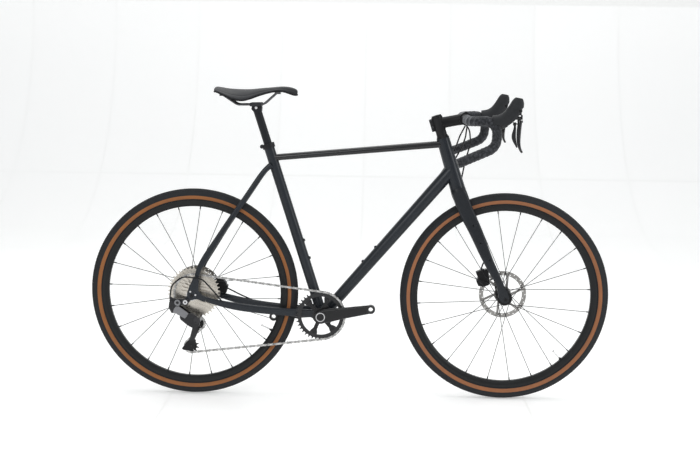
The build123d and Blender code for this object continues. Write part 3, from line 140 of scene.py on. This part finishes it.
def flake_paint(name, base, rough, coat, flake=0.5):
    """Metallic flake under a clear coat, with a faint orange peel."""
    mat, nodes, links, shader = new_material(name)
    vector = coordinates(nodes, links)
    cell = nodes.new("ShaderNodeTexVoronoi")
    cell.inputs["Scale"].default_value = 2600.0
    links.new(vector, cell.inputs["Vector"])
    separate = nodes.new("ShaderNodeSeparateColor")
    links.new(cell.outputs["Color"], separate.inputs["Color"])
    spark = remap(nodes, links, separate.outputs["Red"], 0.82, 1.0, 0.0, flake)
    wander = noise(nodes, links, vector, 9.0)
    shade = mix_colour(nodes, links, remap(nodes, links, wander, 0.35, 0.65, 0.0, 1.0),
                       scaled(base, 0.85), scaled(base, 1.15))
    colour = mix_colour(nodes, links, spark, shade, scaled(base, 3.0, 0.03))
    links.new(colour, shader.inputs["Base Color"])
    links.new(remap(nodes, links, wander, 0.35, 0.65, rough - 0.05, rough + 0.05), shader.inputs["Roughness"])
    peel = noise(nodes, links, vector, 260.0, 2.0)
    links.new(bump(nodes, links, peel, 0.08, 0.0002), shader.inputs["Normal"])
    shader.inputs["Metallic"].default_value = 0.15
    shader.inputs["Specular IOR Level"].default_value = 0.3
    shader.inputs["Coat Weight"].default_value = coat
    shader.inputs["Coat Roughness"].default_value = 0.1
    return mat


def tape_material():
    """Mottled, lightly embossed bar tape, with a painted highlight along the raised edge of each turn."""
    mat, nodes, links, shader = new_material("tape_embossed")
    vector = coordinates(nodes, links)
    cell = nodes.new("ShaderNodeTexVoronoi")
    cell.inputs["Scale"].default_value = 420.0
    cell.feature = "DISTANCE_TO_EDGE"
    links.new(vector, cell.inputs["Vector"])
    mottle = noise(nodes, links, vector, 120.0, 6.0, 0.7)
    colour = mix_colour(nodes, links, remap(nodes, links, mottle, 0.45, 0.66, 0.0, 1.0),
                        (0.010, 0.011, 0.0135), (0.048, 0.051, 0.059))
    # painted highlight: the raised edge of each turn is mixed towards pale grey
    ridge_highlight = nodes.new("ShaderNodeAttribute")
    ridge_highlight.attribute_name = "ridge_highlight"
    colour = mix_colour(nodes, links, remap(nodes, links, ridge_highlight.outputs["Fac"], 0.3, 1.0, 0.0, 0.7),
                        colour, (0.24, 0.25, 0.27))
    links.new(colour, shader.inputs["Base Color"])
    shader.inputs["Specular IOR Level"].default_value = 0.25
    links.new(remap(nodes, links, mottle, 0.4, 0.65, 0.75, 0.5), shader.inputs["Roughness"])
    emboss = bump(nodes, links, remap(nodes, links, cell.outputs["Distance"], 0.0, 0.35, 0.0, 1.0), 0.5,
                  0.0004)
    links.new(bump(nodes, links, noise(nodes, links, vector, 1500.0), 0.35, 0.00008, emboss),
              shader.inputs["Normal"])
    shader.inputs["Sheen Weight"].default_value = 0.15
    return mat


def leather_material():
    """Fine-grained synthetic leather."""
    mat, nodes, links, shader = new_material("saddle_leather")
    vector = coordinates(nodes, links)
    cell = nodes.new("ShaderNodeTexVoronoi")
    cell.inputs["Scale"].default_value = 700.0
    links.new(vector, cell.inputs["Vector"])
    wander = noise(nodes, links, vector, 25.0)
    colour = mix_colour(nodes, links, remap(nodes, links, wander, 0.3, 0.7, 0.0, 1.0),
                        (0.007, 0.0075, 0.009), (0.018, 0.019, 0.022))
    links.new(colour, shader.inputs["Base Color"])
    links.new(remap(nodes, links, wander, 0.3, 0.7, 0.42, 0.56), shader.inputs["Roughness"])
    grain = bump(nodes, links, cell.outputs["Distance"], 0.35, 0.0002)
    links.new(bump(nodes, links, noise(nodes, links, vector, 1600.0), 0.25, 0.00005, grain),
              shader.inputs["Normal"])
    shader.inputs["Specular IOR Level"].default_value = 0.3
    shader.inputs["Sheen Weight"].default_value = 0.08
    return mat


def wheel_frame(nodes, links, centre):
    """The place, the radius from the axle, and (angle, radius, depth) for a surface of revolution."""
    coord = nodes.new("ShaderNodeTexCoord")
    shift = nodes.new("ShaderNodeVectorMath")
    shift.operation = "SUBTRACT"
    shift.inputs[1].default_value = centre
    links.new(coord.outputs["Object"], shift.inputs[0])
    parts = nodes.new("ShaderNodeSeparateXYZ")
    links.new(shift.outputs["Vector"], parts.inputs["Vector"])
    angle = nodes.new("ShaderNodeMath")
    angle.operation = "ARCTAN2"
    links.new(parts.outputs["Z"], angle.inputs[0])
    links.new(parts.outputs["X"], angle.inputs[1])
    flat = nodes.new("ShaderNodeCombineXYZ")
    links.new(parts.outputs["X"], flat.inputs["X"])
    links.new(parts.outputs["Z"], flat.inputs["Y"])
    length = nodes.new("ShaderNodeVectorMath")
    length.operation = "LENGTH"
    links.new(flat.outputs["Vector"], length.inputs[0])
    polar = nodes.new("ShaderNodeCombineXYZ")
    links.new(angle.outputs["Value"], polar.inputs["X"])
    links.new(length.outputs["Value"], polar.inputs["Y"])
    links.new(parts.outputs["Y"], polar.inputs["Z"])
    return coord.outputs["Object"], length.outputs["Value"], polar.outputs["Vector"]


def tan_wall_material(name, centre, warm):
    """Sidewall cloth under a thin tan rubber skin: crossed threads."""
    mat, nodes, links, shader = new_material(name)
    vector, _, polar = wheel_frame(nodes, links, centre)
    place = nodes.new("ShaderNodeMapping")
    place.inputs["Scale"].default_value = (350.0, 1100.0, 1.0)
    links.new(polar, place.inputs["Vector"])
    weave = nodes.new("ShaderNodeTexWave")
    weave.inputs["Scale"].default_value = 0.9
    weave.inputs["Distortion"].default_value = 1.5
    weave.bands_direction = "DIAGONAL"
    links.new(place.outputs["Vector"], weave.inputs["Vector"])
    wander = noise(nodes, links, vector, 26.0)
    patch = remap(nodes, links, wander, 0.3, 0.7, 0.0, 1.0)
    base = mix_colour(nodes, links, patch, scaled(warm, 0.86), scaled(warm, 1.1))
    thread = remap(nodes, links, weave.outputs["Fac"], 0.0, 1.0, 0.0, 0.22)
    colour = mix_colour(nodes, links, thread, base, scaled(warm, 0.6))
    links.new(colour, shader.inputs["Base Color"])
    links.new(remap(nodes, links, wander, 0.3, 0.7, 0.5, 0.64), shader.inputs["Roughness"])
    links.new(bump(nodes, links, weave.outputs["Fac"], 0.25, 0.0002), shader.inputs["Normal"])
    return mat


def brushed_disc(name, centre, base, rough=0.3, rings=2600.0):
    """Metal turned on a lathe: fine rings round the axle."""
    mat, nodes, links, shader = new_material(name)
    polar = wheel_frame(nodes, links, centre)[2]
    place = nodes.new("ShaderNodeMapping")
    place.inputs["Scale"].default_value = (3.0, rings, rings)
    links.new(polar, place.inputs["Vector"])
    lines = noise(nodes, links, place.outputs["Vector"], 1.0, 3.0)
    colour = mix_colour(nodes, links, remap(nodes, links, lines, 0.35, 0.65, 0.0, 1.0),
                        scaled(base, 0.8), scaled(base, 1.12))
    links.new(colour, shader.inputs["Base Color"])
    links.new(remap(nodes, links, lines, 0.35, 0.65, rough - 0.08, rough + 0.1), shader.inputs["Roughness"])
    links.new(bump(nodes, links, lines, 0.2, 0.00004), shader.inputs["Normal"])
    shader.inputs["Metallic"].default_value = 1.0
    return mat


def zoned(name, zones, base=(0.010, 0.010, 0.012), rough=0.3, coat=0.3, metal=0.2):
    """A dark finish with parts of other metals, each a ring (x, z, inner, outer) between two depths."""
    mat = surface(name, base, rough, metal, coat=coat, edge=0.25)
    nodes, links = mat.node_tree.nodes, mat.node_tree.links
    shader = nodes["Principled BSDF"]
    colour = shader.inputs["Base Color"].links[0].from_socket
    shine = None        # where any of the metals shows
    for (x, z, inner, outer, y0, y1), tint in zones:
        vector, radius, _ = wheel_frame(nodes, links, pt(x, z))
        depth = nodes.new("ShaderNodeSeparateXYZ")
        links.new(vector, depth.inputs["Vector"])
        mask = None
        ranges = ((radius, inner, outer), (depth.outputs["Y"], y0, y1))
        for value, low, high in ranges:
            for limit, kind in ((low, "GREATER_THAN"), (high, "LESS_THAN")):
                test = nodes.new("ShaderNodeMath")
                test.operation = kind
                links.new(value, test.inputs[0])
                test.inputs[1].default_value = limit / 1000
                inside = test.outputs["Value"]
                mask = inside if mask is None else combined(nodes, links, "MULTIPLY", mask, inside)
        colour = mix_colour(nodes, links, mask, colour, tint)
        shine = mask if shine is None else combined(nodes, links, "MAXIMUM", shine, mask)
    links.new(colour, shader.inputs["Base Color"])
    links.new(remap(nodes, links, shine, 0.0, 1.0, metal, 1.0), shader.inputs["Metallic"])
    return mat


def combined(nodes, links, operation, a, b):
    """Two numbers joined by a sum, product or the like."""
    node = nodes.new("ShaderNodeMath")
    node.operation = operation
    links.new(a, node.inputs[0])
    links.new(b, node.inputs[1])
    return node.outputs["Value"]


VALVE_R = 268.0        # the valve's shining end, mm from the axle
AXLE_Z = 350.0


def valve_place(axle_x, degrees):
    """Middle (x, z) of the valve's end, mm."""
    a = radians(degrees)
    return axle_x + VALVE_R * cos(a), AXLE_Z + VALVE_R * sin(a)


def rim_material(name, valve):
    return zoned(name, [((*valve, 0.0, 14.0, -4, 4), VALVE_WHITE)], (0.009, 0.0095, 0.010), 0.4, 0.0)


SILVER = (0.62, 0.62, 0.63)
GREY = (0.20, 0.20, 0.21)
VALVE_WHITE = (0.85, 0.85, 0.85)
M = {
    "frame": flake_paint("frame_anthracite", (0.0085, 0.0115, 0.0160), 0.38, 0.2),
    "frame_gloss": flake_paint("frame_black_gloss", (0.0035, 0.0038, 0.0050), 0.25, 0.5, 0.1),
    "fork": flake_paint("fork_anthracite", (0.0085, 0.0105, 0.0140), 0.42, 0.15),
    "anodised": surface("black_anodised", (0.0075, 0.0075, 0.0085), 0.4, 0.2, vary=0.15, edge=0.12),
    "chainring": surface("ring_black", (0.012, 0.012, 0.013), 0.36, 0.3, edge=0.35),
    "crank": zoned("crank_black", [((428, 283, 12.8, 15.2, -80, -71), SILVER)],
                   (0.009, 0.009, 0.010), 0.32, 0.2),
    "derailleur": zoned("derailleur_black", [((-20, 329, 3.0, 7.6, -95, -86.5), SILVER),
                                             ((-45.2, 328.4, 4.9, 10.1, -96, -91.5), GREY),
                                             ((-33, 294, 0.0, 27.0, -95.5, -89.9), GREY)]),
    "rim_front": rim_material("rim_front_anodised", valve_place(1042, 313)),
    "rim_rear": rim_material("rim_rear_anodised", valve_place(0, 333.5)),
    "gloss": surface("gloss_black", (0.005, 0.005, 0.006), 0.2, 0.0, coat=0.5, edge=0.12),
    "plastic": surface("moulded_black", (0.010, 0.010, 0.011), 0.5,
                       grain=1400.0, grain_depth=0.00008, grain_strength=0.4),
    "hose": surface("hose_skin", (0.007, 0.007, 0.008), 0.42, grain=600.0),
    "silver": surface("brushed_silver", (0.50, 0.50, 0.51), 0.3, 1.0,
                      vary=0.1, patch=60.0, stretch=(1, 6, 1), edge=0.2),
    "rail": surface("rail_steel", (0.10, 0.10, 0.105), 0.35, 1.0,
                    vary=0.1, patch=60.0, stretch=(1, 6, 1), edge=0.2),
    "chain": surface("chain_silver", (0.34, 0.335, 0.33), 0.32, 1.0, vary=0.6, patch=190.0, edge=0.5),
    "spoke": surface("spoke_steel", (0.022, 0.022, 0.025), 0.38, 0.4, vary=0.15, patch=50.0),
    "bolt": surface("bolt_black", (0.03, 0.03, 0.032), 0.35, 0.8, edge=0.4),
    "screws": zoned("frame_screws", [((4.5, 358, 0.0, 16.0, -84, -76), SILVER)],
                    (0.02, 0.02, 0.022), 0.35, 0.0, 0.6),
    "post": zoned("seatpost_black", [((207.6, 971.7, 0.0, 4.4, -22, -15.6), SILVER)],
                  (0.0085, 0.0095, 0.012), 0.42, 0.0, 0.1),
    "pad": surface("pad_compound", (0.06, 0.05, 0.045), 0.8, 0.3, vary=0.4, patch=300.0),
    "rubber": surface("tread_rubber", (0.017, 0.018, 0.020), 0.8, vary=0.25, patch=60.0,
                      grain=700.0, grain_depth=0.0001, sheen=0.06),
    "hood": surface("hood_rubber", (0.016, 0.017, 0.019), 0.58, vary=0.2, patch=80.0,
                    grain=1000.0, grain_depth=0.0001, grain_strength=0.5, sheen=0.06),
    "tape": tape_material(),
    "leather": leather_material(),
    "cassette": brushed_disc("cassette_nickel", REAR, (0.62, 0.58, 0.52), 0.28),
    "rotor_rear": brushed_disc("rotor_steel_rear", REAR, (0.33, 0.32, 0.31), 0.3),
    "rotor_front": brushed_disc("rotor_steel_front", FRONT, (0.33, 0.32, 0.31), 0.3),
    "tan_front": tan_wall_material("tan_wall_front", FRONT, (0.282, 0.102, 0.034)),
    "tan_rear": tan_wall_material("tan_wall_rear", REAR, (0.265, 0.091, 0.018)),
}


def paint(node, key):
    mesh = NODES[node].data
    mesh.materials.clear()
    mesh.materials.append(M[key])


FINISH = {
    "frame": ["head_tube", "down_tube", "seat_tube", "bottom_bracket_shell", "chainstays", "seatstays",
              "dropouts"],
    "frame_gloss": ["top_tube"],
    "fork": ["fork"],
    "anodised": ["headset_spacers", "stem", "stem_faceplate", "seat_clamp", "handlebar", "front_hub",
                 "rear_hub",
                 "front_caliper", "rear_caliper", "front_thru_axle", "rear_thru_axle", "lever_brackets",
                 "frame_bearings"],
    "crank": ["crank_arm_right", "crank_arm_left"],
    "chainring": ["chainring", "derailleur_cage"],
    "derailleur": ["derailleur_linkage"],
    "rim_front": ["front_rim"],
    "rim_rear": ["rear_rim"],
    "gloss": ["brake_lever_left", "brake_lever_right", "lever_pivot_right"],
    "plastic": ["shift_paddle", "guide_pulley", "tension_pulley", "saddle_shell"],
    "hose": ["rear_brake_hose", "front_brake_hose", "shift_housing", "control_hoses"],
    "silver": ["freehub_body"],
    "rail": ["saddle_rails"],
    "chain": ["chain"],
    "spoke": ["front_spokes", "rear_spokes"],
    "bolt": ["steering_bolts"],
    "screws": ["frame_bolts"],
    "post": ["seatpost"],
    "pad": ["front_pad_inner", "front_pad_outer", "rear_pad_inner", "rear_pad_outer"],
    "rubber": ["front_tyre", "rear_tyre"],
    "hood": ["brake_hoods"],
    "tape": ["bar_tape"],
    "leather": ["saddle_pad"],
    "cassette": ["cassette"],
    "rotor_rear": ["rear_rotor"],
    "rotor_front": ["front_rotor"],
}
for key, names in FINISH.items():
    for node in names:
        paint(node, key)


# ------------------------------------------------------------------ mesh helpers
def add_mesh(name, vertices, faces, materials, face_material=None):
    """A smooth-shaded object from points and faces."""
    mesh = bpy.data.meshes.new(name)
    mesh.from_pydata([tuple(v) for v in vertices], [], faces)
    for mat in materials:
        mesh.materials.append(mat)
    if face_material:
        for polygon, index in zip(mesh.polygons, face_material):
            polygon.material_index = index
    mesh.shade_smooth()
    mesh.update()
    obj = bpy.data.objects.new(name, mesh)
    bpy.context.collection.objects.link(obj)
    return obj


def ring_faces(rings, size, closed_along=False):
    """Quads between successive rings of points."""
    faces = []
    spans = rings if closed_along else rings - 1
    for i in range(spans):
        this, following = i * size, (i + 1) % rings * size
        for j in range(size):
            k = (j + 1) % size
            faces.append((this + j, this + k, following + k, following + j))
    return faces


# ------------------------------------------------------------------ tyres
TYRE_R = 0.350
CASING_R = 0.3485                     # the crown, between the blocks
ARC_R = 0.01972                       # the casing's round section
ARC_Z = CASING_R - ARC_R              # radius at which that section is centred
CASING_THICK = 0.0025
BEAD_LOW, BEAD_HIGH = 0.3055, 0.3124  # the part inside the rim
BEAD_OUT, BEAD_IN = 0.0106, 0.0092    # its half widths
HOOK_R, HOOK_HALF = 0.314, 0.0119     # where the wall leaves the rim
TAN_LOW, TAN_HIGH = 0.3155, 0.3285    # the tan band on each wall
WALL_STEPS, LINER_STEPS = 30, 12
TYRE_RINGS = 288
BLOCKS = 260                          # round each row
ROOT = 0.0004                         # depth to which a block goes into the casing
BLOCK_TOP = 0.78                      # size of a block's top against its foot
# rows of blocks: offset from the crown, half across, half along, stagger, height
BLOCK_ROWS = [(0.0, 0.0032, 0.0042, 0.0, 0.0013), (0.0052, 0.0030, 0.0036, 0.5, 0.0013),
              (0.0100, 0.0030, 0.0036, 0.0, 0.0013), (0.0140, 0.0026, 0.0040, 0.5, 0.0011)]
BLOCK_FACES = ((4, 5, 6, 7), (0, 1, 5, 4), (1, 2, 6, 5), (2, 3, 7, 6), (3, 0, 4, 7), (3, 2, 1, 0))
BLOCK_CORNERS = ((-1, -1), (1, -1), (1, 1), (-1, 1))


def tyre_outline():
    """Section of the casing, as (distance from the middle plane, radius)."""
    start = atan2(HOOK_R - ARC_Z, HOOK_HALF)
    sweep_angle = pi - 2 * start
    outline = [(BEAD_OUT, BEAD_LOW), (BEAD_OUT, BEAD_HIGH)]
    for i in range(WALL_STEPS + 1):
        a = start + sweep_angle * i / WALL_STEPS
        outline.append((ARC_R * cos(a), ARC_Z + ARC_R * sin(a)))
    outline += [(-BEAD_OUT, BEAD_HIGH), (-BEAD_OUT, BEAD_LOW), (-BEAD_IN, BEAD_LOW)]
    inner = ARC_R - CASING_THICK
    for i in range(LINER_STEPS + 1):
        a = start + sweep_angle * i / LINER_STEPS
        outline.append((-inner * cos(a), ARC_Z + inner * sin(a)))
    outline.append((BEAD_IN, BEAD_LOW))
    return outline


def on_wheel(centre, radius, around, y):
    return centre + Vector((radius * cos(around), y, radius * sin(around)))


def tread_block(centre, tilt, around, half_across, half_along, height):
    """Corners of one block, which narrows towards its top."""
    corners = []
    for lift, grow in ((-ROOT, 1.0), (height, BLOCK_TOP)):
        for du, dv in BLOCK_CORNERS:
            across = tilt + du * grow * half_across / ARC_R
            along = around + dv * grow * half_along / TYRE_R
            reach = ARC_R + lift
            corners.append(on_wheel(centre, ARC_Z + reach * cos(across), along, reach * sin(across)))
    return corners


def tyre(name, centre, tan_key, body):
    """Casing with tan walls and a black tread of small blocks."""
    outline = tyre_outline()
    size = len(outline)
    vertices = []
    for i in range(TYRE_RINGS):
        for y, r in outline:
            vertices.append(on_wheel(centre, r, 2 * pi * i / TYRE_RINGS, y))
    faces = ring_faces(TYRE_RINGS, size, closed_along=True)
    kinds = []
    for face in faces:
        middle = sum((vertices[k] - centre).xz.length for k in face) / 4
        kinds.append(0 if TAN_LOW < middle < TAN_HIGH else 1)
    for offset, half_across, half_along, stagger, height in BLOCK_ROWS:
        for sign in ((1,) if offset == 0.0 else (1, -1)):
            for i in range(BLOCKS):
                around = 2 * pi * (i + stagger) / BLOCKS
                base = len(vertices)
                vertices += tread_block(centre, sign * offset / ARC_R, around, half_across, half_along,
                                        height)
                for quad in BLOCK_FACES:
                    faces.append(tuple(base + k for k in quad))
                    kinds.append(1)
    obj = add_mesh(name, vertices, faces, [M[tan_key], M["rubber"]], kinds)
    for polygon in obj.data.polygons[TYRE_RINGS * size:]:
        polygon.use_smooth = False
    outward(obj)
    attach(obj, body)
    return obj


def outward(obj):
    """Turn every face outwards."""
    bm = bmesh.new()
    bm.from_mesh(obj.data)
    bmesh.ops.recalc_face_normals(bm, faces=bm.faces)
    bm.to_mesh(obj.data)
    bm.free()


front_tyre = tyre("front_tyre_treaded", FRONT, "tan_front", "front_wheel")
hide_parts("front_tyre")
rear_tyre = tyre("rear_tyre_treaded", REAR, "tan_rear", "rear_wheel")
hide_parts("rear_tyre")


# ------------------------------------------------------------------ bar tape
def rounded(corners, bend, step):
    """Points along straight runs joined by arcs of one radius."""
    points = [corners[0]]
    for before, corner, after in zip(corners, corners[1:], corners[2:]):
        a, b = (before - corner).normalized(), (after - corner).normalized()
        half = a.angle(b) / 2
        reach = min(bend / tan(half), 0.49 * (before - corner).length, 0.49 * (after - corner).length)
        radius = reach * tan(half)
        centre = corner + (a + b).normalized() * (radius / sin(half))
        start, end = corner + a * reach, corner + b * reach
        line(points, start, step)
        turn = pi - 2 * half
        count = max(2, int(radius * turn / step))
        first, normal = start - centre, (start - centre).cross(end - centre).normalized()
        for i in range(1, count + 1):
            points.append(centre + Matrix.Rotation(turn * i / count, 3, normal) @ first)
    line(points, corners[-1], step)
    return points


def line(points, end, step):
    """Add evenly spaced points up to an end."""
    start = points[-1]
    count = max(1, int((end - start).length / step))
    for i in range(1, count + 1):
        points.append(start.lerp(end, i / count))


def sweep(points, around_count, radius_at):
    """Rings round a path, turned as little as possible from one to the next."""
    rings, run = [], 0.0
    ahead = (points[1] - points[0]).normalized()
    side = ahead.orthogonal().normalized()
    for i, p in enumerate(points):
        if i:
            run += (p - points[i - 1]).length
        new = (points[min(i + 1, len(points) - 1)] - points[max(i - 1, 0)]).normalized()
        side = (side - new * side.dot(new)).normalized()
        other = new.cross(side)
        for j in range(around_count):
            a = 2 * pi * j / around_count
            rings.append(p + (side * cos(a) + other * sin(a)) * radius_at(run, a))
    return rings


WRAP = 0.0145                          # advance of the tape in one turn
TAPE_LOW, TAPE_RIDGE = 0.0149, 0.0011  # radius at an edge's foot, and the edge's height
TAPE_END_R = 0.0135                    # where the first turn lies flat on the bar
TAPE_START = 0.008                     # length of that first stretch
RISE = 0.93                            # share of a turn over which the tape climbs
BAR_BEND = 0.044                       # bend radius of the bar's path
TAPE_STEP, TAPE_SIDES = 0.0011, 40
HIGHLIGHT_START, HIGHLIGHT_LENGTH, HIGHLIGHT_LEAST = 0.10, 0.06, 0.35  # painted highlight on the edges: they are pale near the stem, then fade


def wrap_height(run, a):
    """Height of the overlapped tape, from 0 just after an edge to 1 at the next edge."""
    place = (run / WRAP - a / (2 * pi)) % 1.0
    return place / RISE if place < RISE else (1.0 - place) / (1.0 - RISE)


def tape_radius(run, a):
    """The wrap's radius, thinner at its first turn."""
    start = min(1.0, run / TAPE_START)
    return TAPE_END_R + (TAPE_LOW - TAPE_END_R + TAPE_RIDGE * wrap_height(run, a)) * start ** 0.5


def tape_piece(sign):
    """One side's wrap, from beside the stem to the bar's end."""
    corners = [pt(897.6, 944.7, sign * 76), pt(897.6, 944.7, sign * 203), pt(984, 948.5, sign * 207),
               pt(980, 866, sign * 227), pt(860, 815.5, sign * 247)]
    points = rounded(corners, BAR_BEND, TAPE_STEP)
    size = TAPE_SIDES
    vertices = sweep(points, size, lambda run, a: tape_radius(run, sign * a))
    faces = ring_faces(len(points), size)
    for ring, centre in ((0, points[0]), (len(points) - 1, points[-1])):
        hub = len(vertices)
        vertices.append(centre)
        for j in range(size):
            a, b = ring * size + j, ring * size + (j + 1) % size
            faces.append((a, hub, b) if ring == 0 else (b, hub, a))
    obj = add_mesh("bar_tape_" + ("left" if sign > 0 else "right"), vertices, faces, [M["tape"]])
    mark = obj.data.attributes.new("ridge_highlight", "FLOAT", "POINT")
    run = 0.0
    for i in range(len(points)):
        if i:
            run += (points[i] - points[i - 1]).length
        for j in range(size):
            # painted highlight: how pale each point of the wrap's edge is painted, fading away from the stem
            fade = max(HIGHLIGHT_LEAST, min(1.0, 1.0 - (run - HIGHLIGHT_START) / HIGHLIGHT_LENGTH))
            mark.data[i * size + j].value = wrap_height(run, sign * 2 * pi * j / size) * fade
    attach(obj, "steering")
    return obj


left_tape, right_tape = tape_piece(1), tape_piece(-1)
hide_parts("bar_tape")
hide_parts("bar_tape")


# ------------------------------------------------------------------ soft copies of the frame's own shapes
def soft_copy(node, name, voxel, smooth_steps):
    """A copy of one CAD shape with its edges rounded off."""
    obj = bpy.data.objects.new(name, NODES[node].data.copy())
    obj.matrix_world = NODES[node].matrix_world.copy()
    bpy.context.collection.objects.link(obj)
    remesh = obj.modifiers.new("remesh", "REMESH")
    remesh.mode = "VOXEL"
    remesh.voxel_size = voxel
    relax = obj.modifiers.new("relax", "SMOOTH")
    relax.factor = 0.5
    relax.iterations = smooth_steps
    bake(obj)
    return obj


def bake(obj):
    """Apply every modifier."""
    graph = bpy.context.evaluated_depsgraph_get()
    mesh = bpy.data.meshes.new_from_object(obj.evaluated_get(graph))
    old = obj.data
    obj.modifiers.clear()
    obj.data = mesh
    bpy.data.meshes.remove(old)
    obj.data.shade_smooth()


RIB_BACK, RIB_FRONT = pt(985, 945), pt(1026, 990)
RIB_PITCH, RIB_DEPTH, RIB_LEAN = 0.0052, 0.00055, 0.35


def hoods():
    """Rubber hoods: rounded edges and grip ribs on both flanks."""
    obj = soft_copy("brake_hoods", "brake_hoods_rubber", 0.0013, 16)
    mesh = obj.data
    for vertex in mesh.vertices:
        p, n = vertex.co, vertex.normal
        if RIB_BACK.x < p.x < RIB_FRONT.x and RIB_BACK.z < p.z < RIB_FRONT.z:
            fade = sin(pi * (p.x - RIB_BACK.x) / (RIB_FRONT.x - RIB_BACK.x))
            ribs = 0.5 - 0.5 * cos(2 * pi * (p.x + RIB_LEAN * p.z) / RIB_PITCH)
            vertex.co = p - n * (RIB_DEPTH * fade * (1 - ribs) * abs(n.y) ** 2)
    mesh.update()
    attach(obj, "steering")
    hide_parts("brake_hoods")


hoods()


STATION = 0.006                      # spacing at which the saddle's width is taken
SWELL, SWELL_REACH = 0.0012, 0.8     # height, and reach as a share of the half width
SEAM_DEPTH, SEAM_HALF, SEAM_AT = 0.0009, 0.0022, 0.84


def half_widths(mesh):
    """Largest distance from the middle plane at each station along a mesh."""
    stations = {}
    for vertex in mesh.vertices:
        key = round(vertex.co.x / STATION)
        stations[key] = max(stations.get(key, 0.0), abs(vertex.co.y))
    return stations


def saddle_top():
    """Padded cover with a stitched seam along each flank."""
    obj = soft_copy("saddle_pad", "saddle_cover", 0.0026, 10)
    mesh = obj.data
    stations = half_widths(mesh)
    moves = []
    for vertex in mesh.vertices:
        p, n = vertex.co, vertex.normal
        place = p.x / STATION
        key = int(place // 1)
        near, far = stations.get(key, 0.0), stations.get(key + 1, 0.0)
        half = near + (far - near) * (place - key)
        swell, groove = 0.0, 0.0
        if n.z > 0.1 and half > 0.01:
            t = abs(p.y) / half
            swell = SWELL * max(0.0, 1 - (t / SWELL_REACH) ** 2) * n.z
            groove = SEAM_DEPTH * max(0.0, 1 - ((t - SEAM_AT) * half / SEAM_HALF) ** 2)
        moves.append(n * (swell - groove))
    for vertex, move in zip(mesh.vertices, moves):
        vertex.co += move
    fine = obj.modifiers.new("fine", "SUBSURF")
    fine.levels = fine.render_levels = 1
    bake(obj)
    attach(obj, "seat")
    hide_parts("saddle_pad")


saddle_top()


# ------------------------------------------------------------------ light, floor and camera
def area(name, place, target, size, power):
    """A rectangular lamp that faces a point."""
    data = bpy.data.lights.new(name, "AREA")
    data.shape = "RECTANGLE"
    data.size, data.size_y = size
    data.energy = power
    lamp = bpy.data.objects.new(name, data)
    lamp.location = place
    lamp.rotation_euler = (Vector(target) - Vector(place)).to_track_quat("-Z", "Y").to_euler()
    bpy.context.collection.objects.link(lamp)


STAGE_GLOW = 0.32        # the studio sweep is lit from inside itself, so it stays near white


SWEEP_R = 1.6            # bend between the floor and the wall
WALL_Y, WALL_TOP = 4.8, 7.0
FLOOR_FRONT, FLOOR_HALF = -4.0, 12.0
FLOOR_DROP = 0.0005      # keeps the floor just under the tyres


def floor():
    """Pale tiled floor that bends up into the backdrop."""
    mat, nodes, links, shader = new_material("studio_floor")
    vector = coordinates(nodes, links)
    brick = nodes.new("ShaderNodeTexBrick")
    brick.offset = 0.0
    for socket, value in (("Scale", 1.0), ("Mortar Size", 0.004), ("Brick Width", 0.6), ("Row Height", 0.6)):
        brick.inputs[socket].default_value = value
    brick.inputs["Color1"].default_value = (0.86, 0.86, 0.855, 1)
    brick.inputs["Color2"].default_value = (0.84, 0.84, 0.835, 1)
    brick.inputs["Mortar"].default_value = (0.78, 0.78, 0.77, 1)
    links.new(vector, brick.inputs["Vector"])
    links.new(brick.outputs["Color"], shader.inputs["Base Color"])
    links.new(remap(nodes, links, noise(nodes, links, vector, 3.0), 0.3, 0.7, 0.35, 0.5),
              shader.inputs["Roughness"])
    links.new(brick.outputs["Color"], shader.inputs["Emission Color"])
    shader.inputs["Emission Strength"].default_value = STAGE_GLOW
    vertices, faces = [], []
    bend_y, steps = WALL_Y - SWEEP_R, 12
    profile = [(FLOOR_FRONT, 0.0), (bend_y, 0.0)]
    for i in range(1, steps + 1):
        a = radians(90 * i / steps)
        profile.append((bend_y + SWEEP_R * sin(a), SWEEP_R - SWEEP_R * cos(a)))
    profile.append((WALL_Y, WALL_TOP))
    for y, z in profile:
        vertices += [(-FLOOR_HALF, y, z - FLOOR_DROP), (FLOOR_HALF, y, z - FLOOR_DROP)]
    for i in range(len(profile) - 1):
        faces.append((2 * i, 2 * i + 1, 2 * i + 3, 2 * i + 2))
    obj = add_mesh("studio_floor", vertices, faces, [mat])


floor()
world = bpy.data.worlds.new("studio")
bpy.context.scene.world = world
world.use_nodes = True
world.node_tree.nodes["Background"].inputs["Color"].default_value = (0.95, 0.98, 1.0, 1)
world.node_tree.nodes["Background"].inputs["Strength"].default_value = 0.5
area("top", (0.2, 0.3, 3.6), (0.0, 0.0, 0.4), (4.5, 3.0), 72)
area("camera_side", (-1.6, -4.2, 2.6), (0.0, 0.0, 0.6), (3.0, 2.0), 60)
area("right_side", (3.6, -1.6, 1.6), (0.3, 0.0, 0.6), (1.2, 2.4), 35)

CAMERA_PLACE = Vector((0.6044 - SHIFT, -4.0125, 1.1254))
YAW, PITCH, ROLL = -0.0206, 0.1410, 0.0131
SENSOR = 36.0                        # mm
LENS = SENSOR * 1209.5 / 700.0       # mm


def camera():
    """Low three-quarter view from the right side, nearly square to the frame."""
    ahead = Vector((sin(YAW) * cos(PITCH), cos(YAW) * cos(PITCH), -sin(PITCH)))
    level = ahead.cross(Vector((0, 0, 1))).normalized()
    upright = level.cross(ahead)
    right = level * cos(ROLL) + upright * sin(ROLL)
    up = upright * cos(ROLL) - level * sin(ROLL)
    data = bpy.data.cameras.new("camera")
    data.sensor_width = SENSOR
    data.lens = LENS
    data.clip_end = 60.0
    obj = bpy.data.objects.new("camera", data)
    place = Matrix.Identity(4)
    for row in range(3):
        for column, value in enumerate((right, up, -ahead, CAMERA_PLACE)):
            place[row][column] = value[row]
    obj.matrix_world = place
    bpy.context.collection.objects.link(obj)
    bpy.context.scene.camera = obj


camera()
bpy.context.scene.view_settings.view_transform = "Standard"
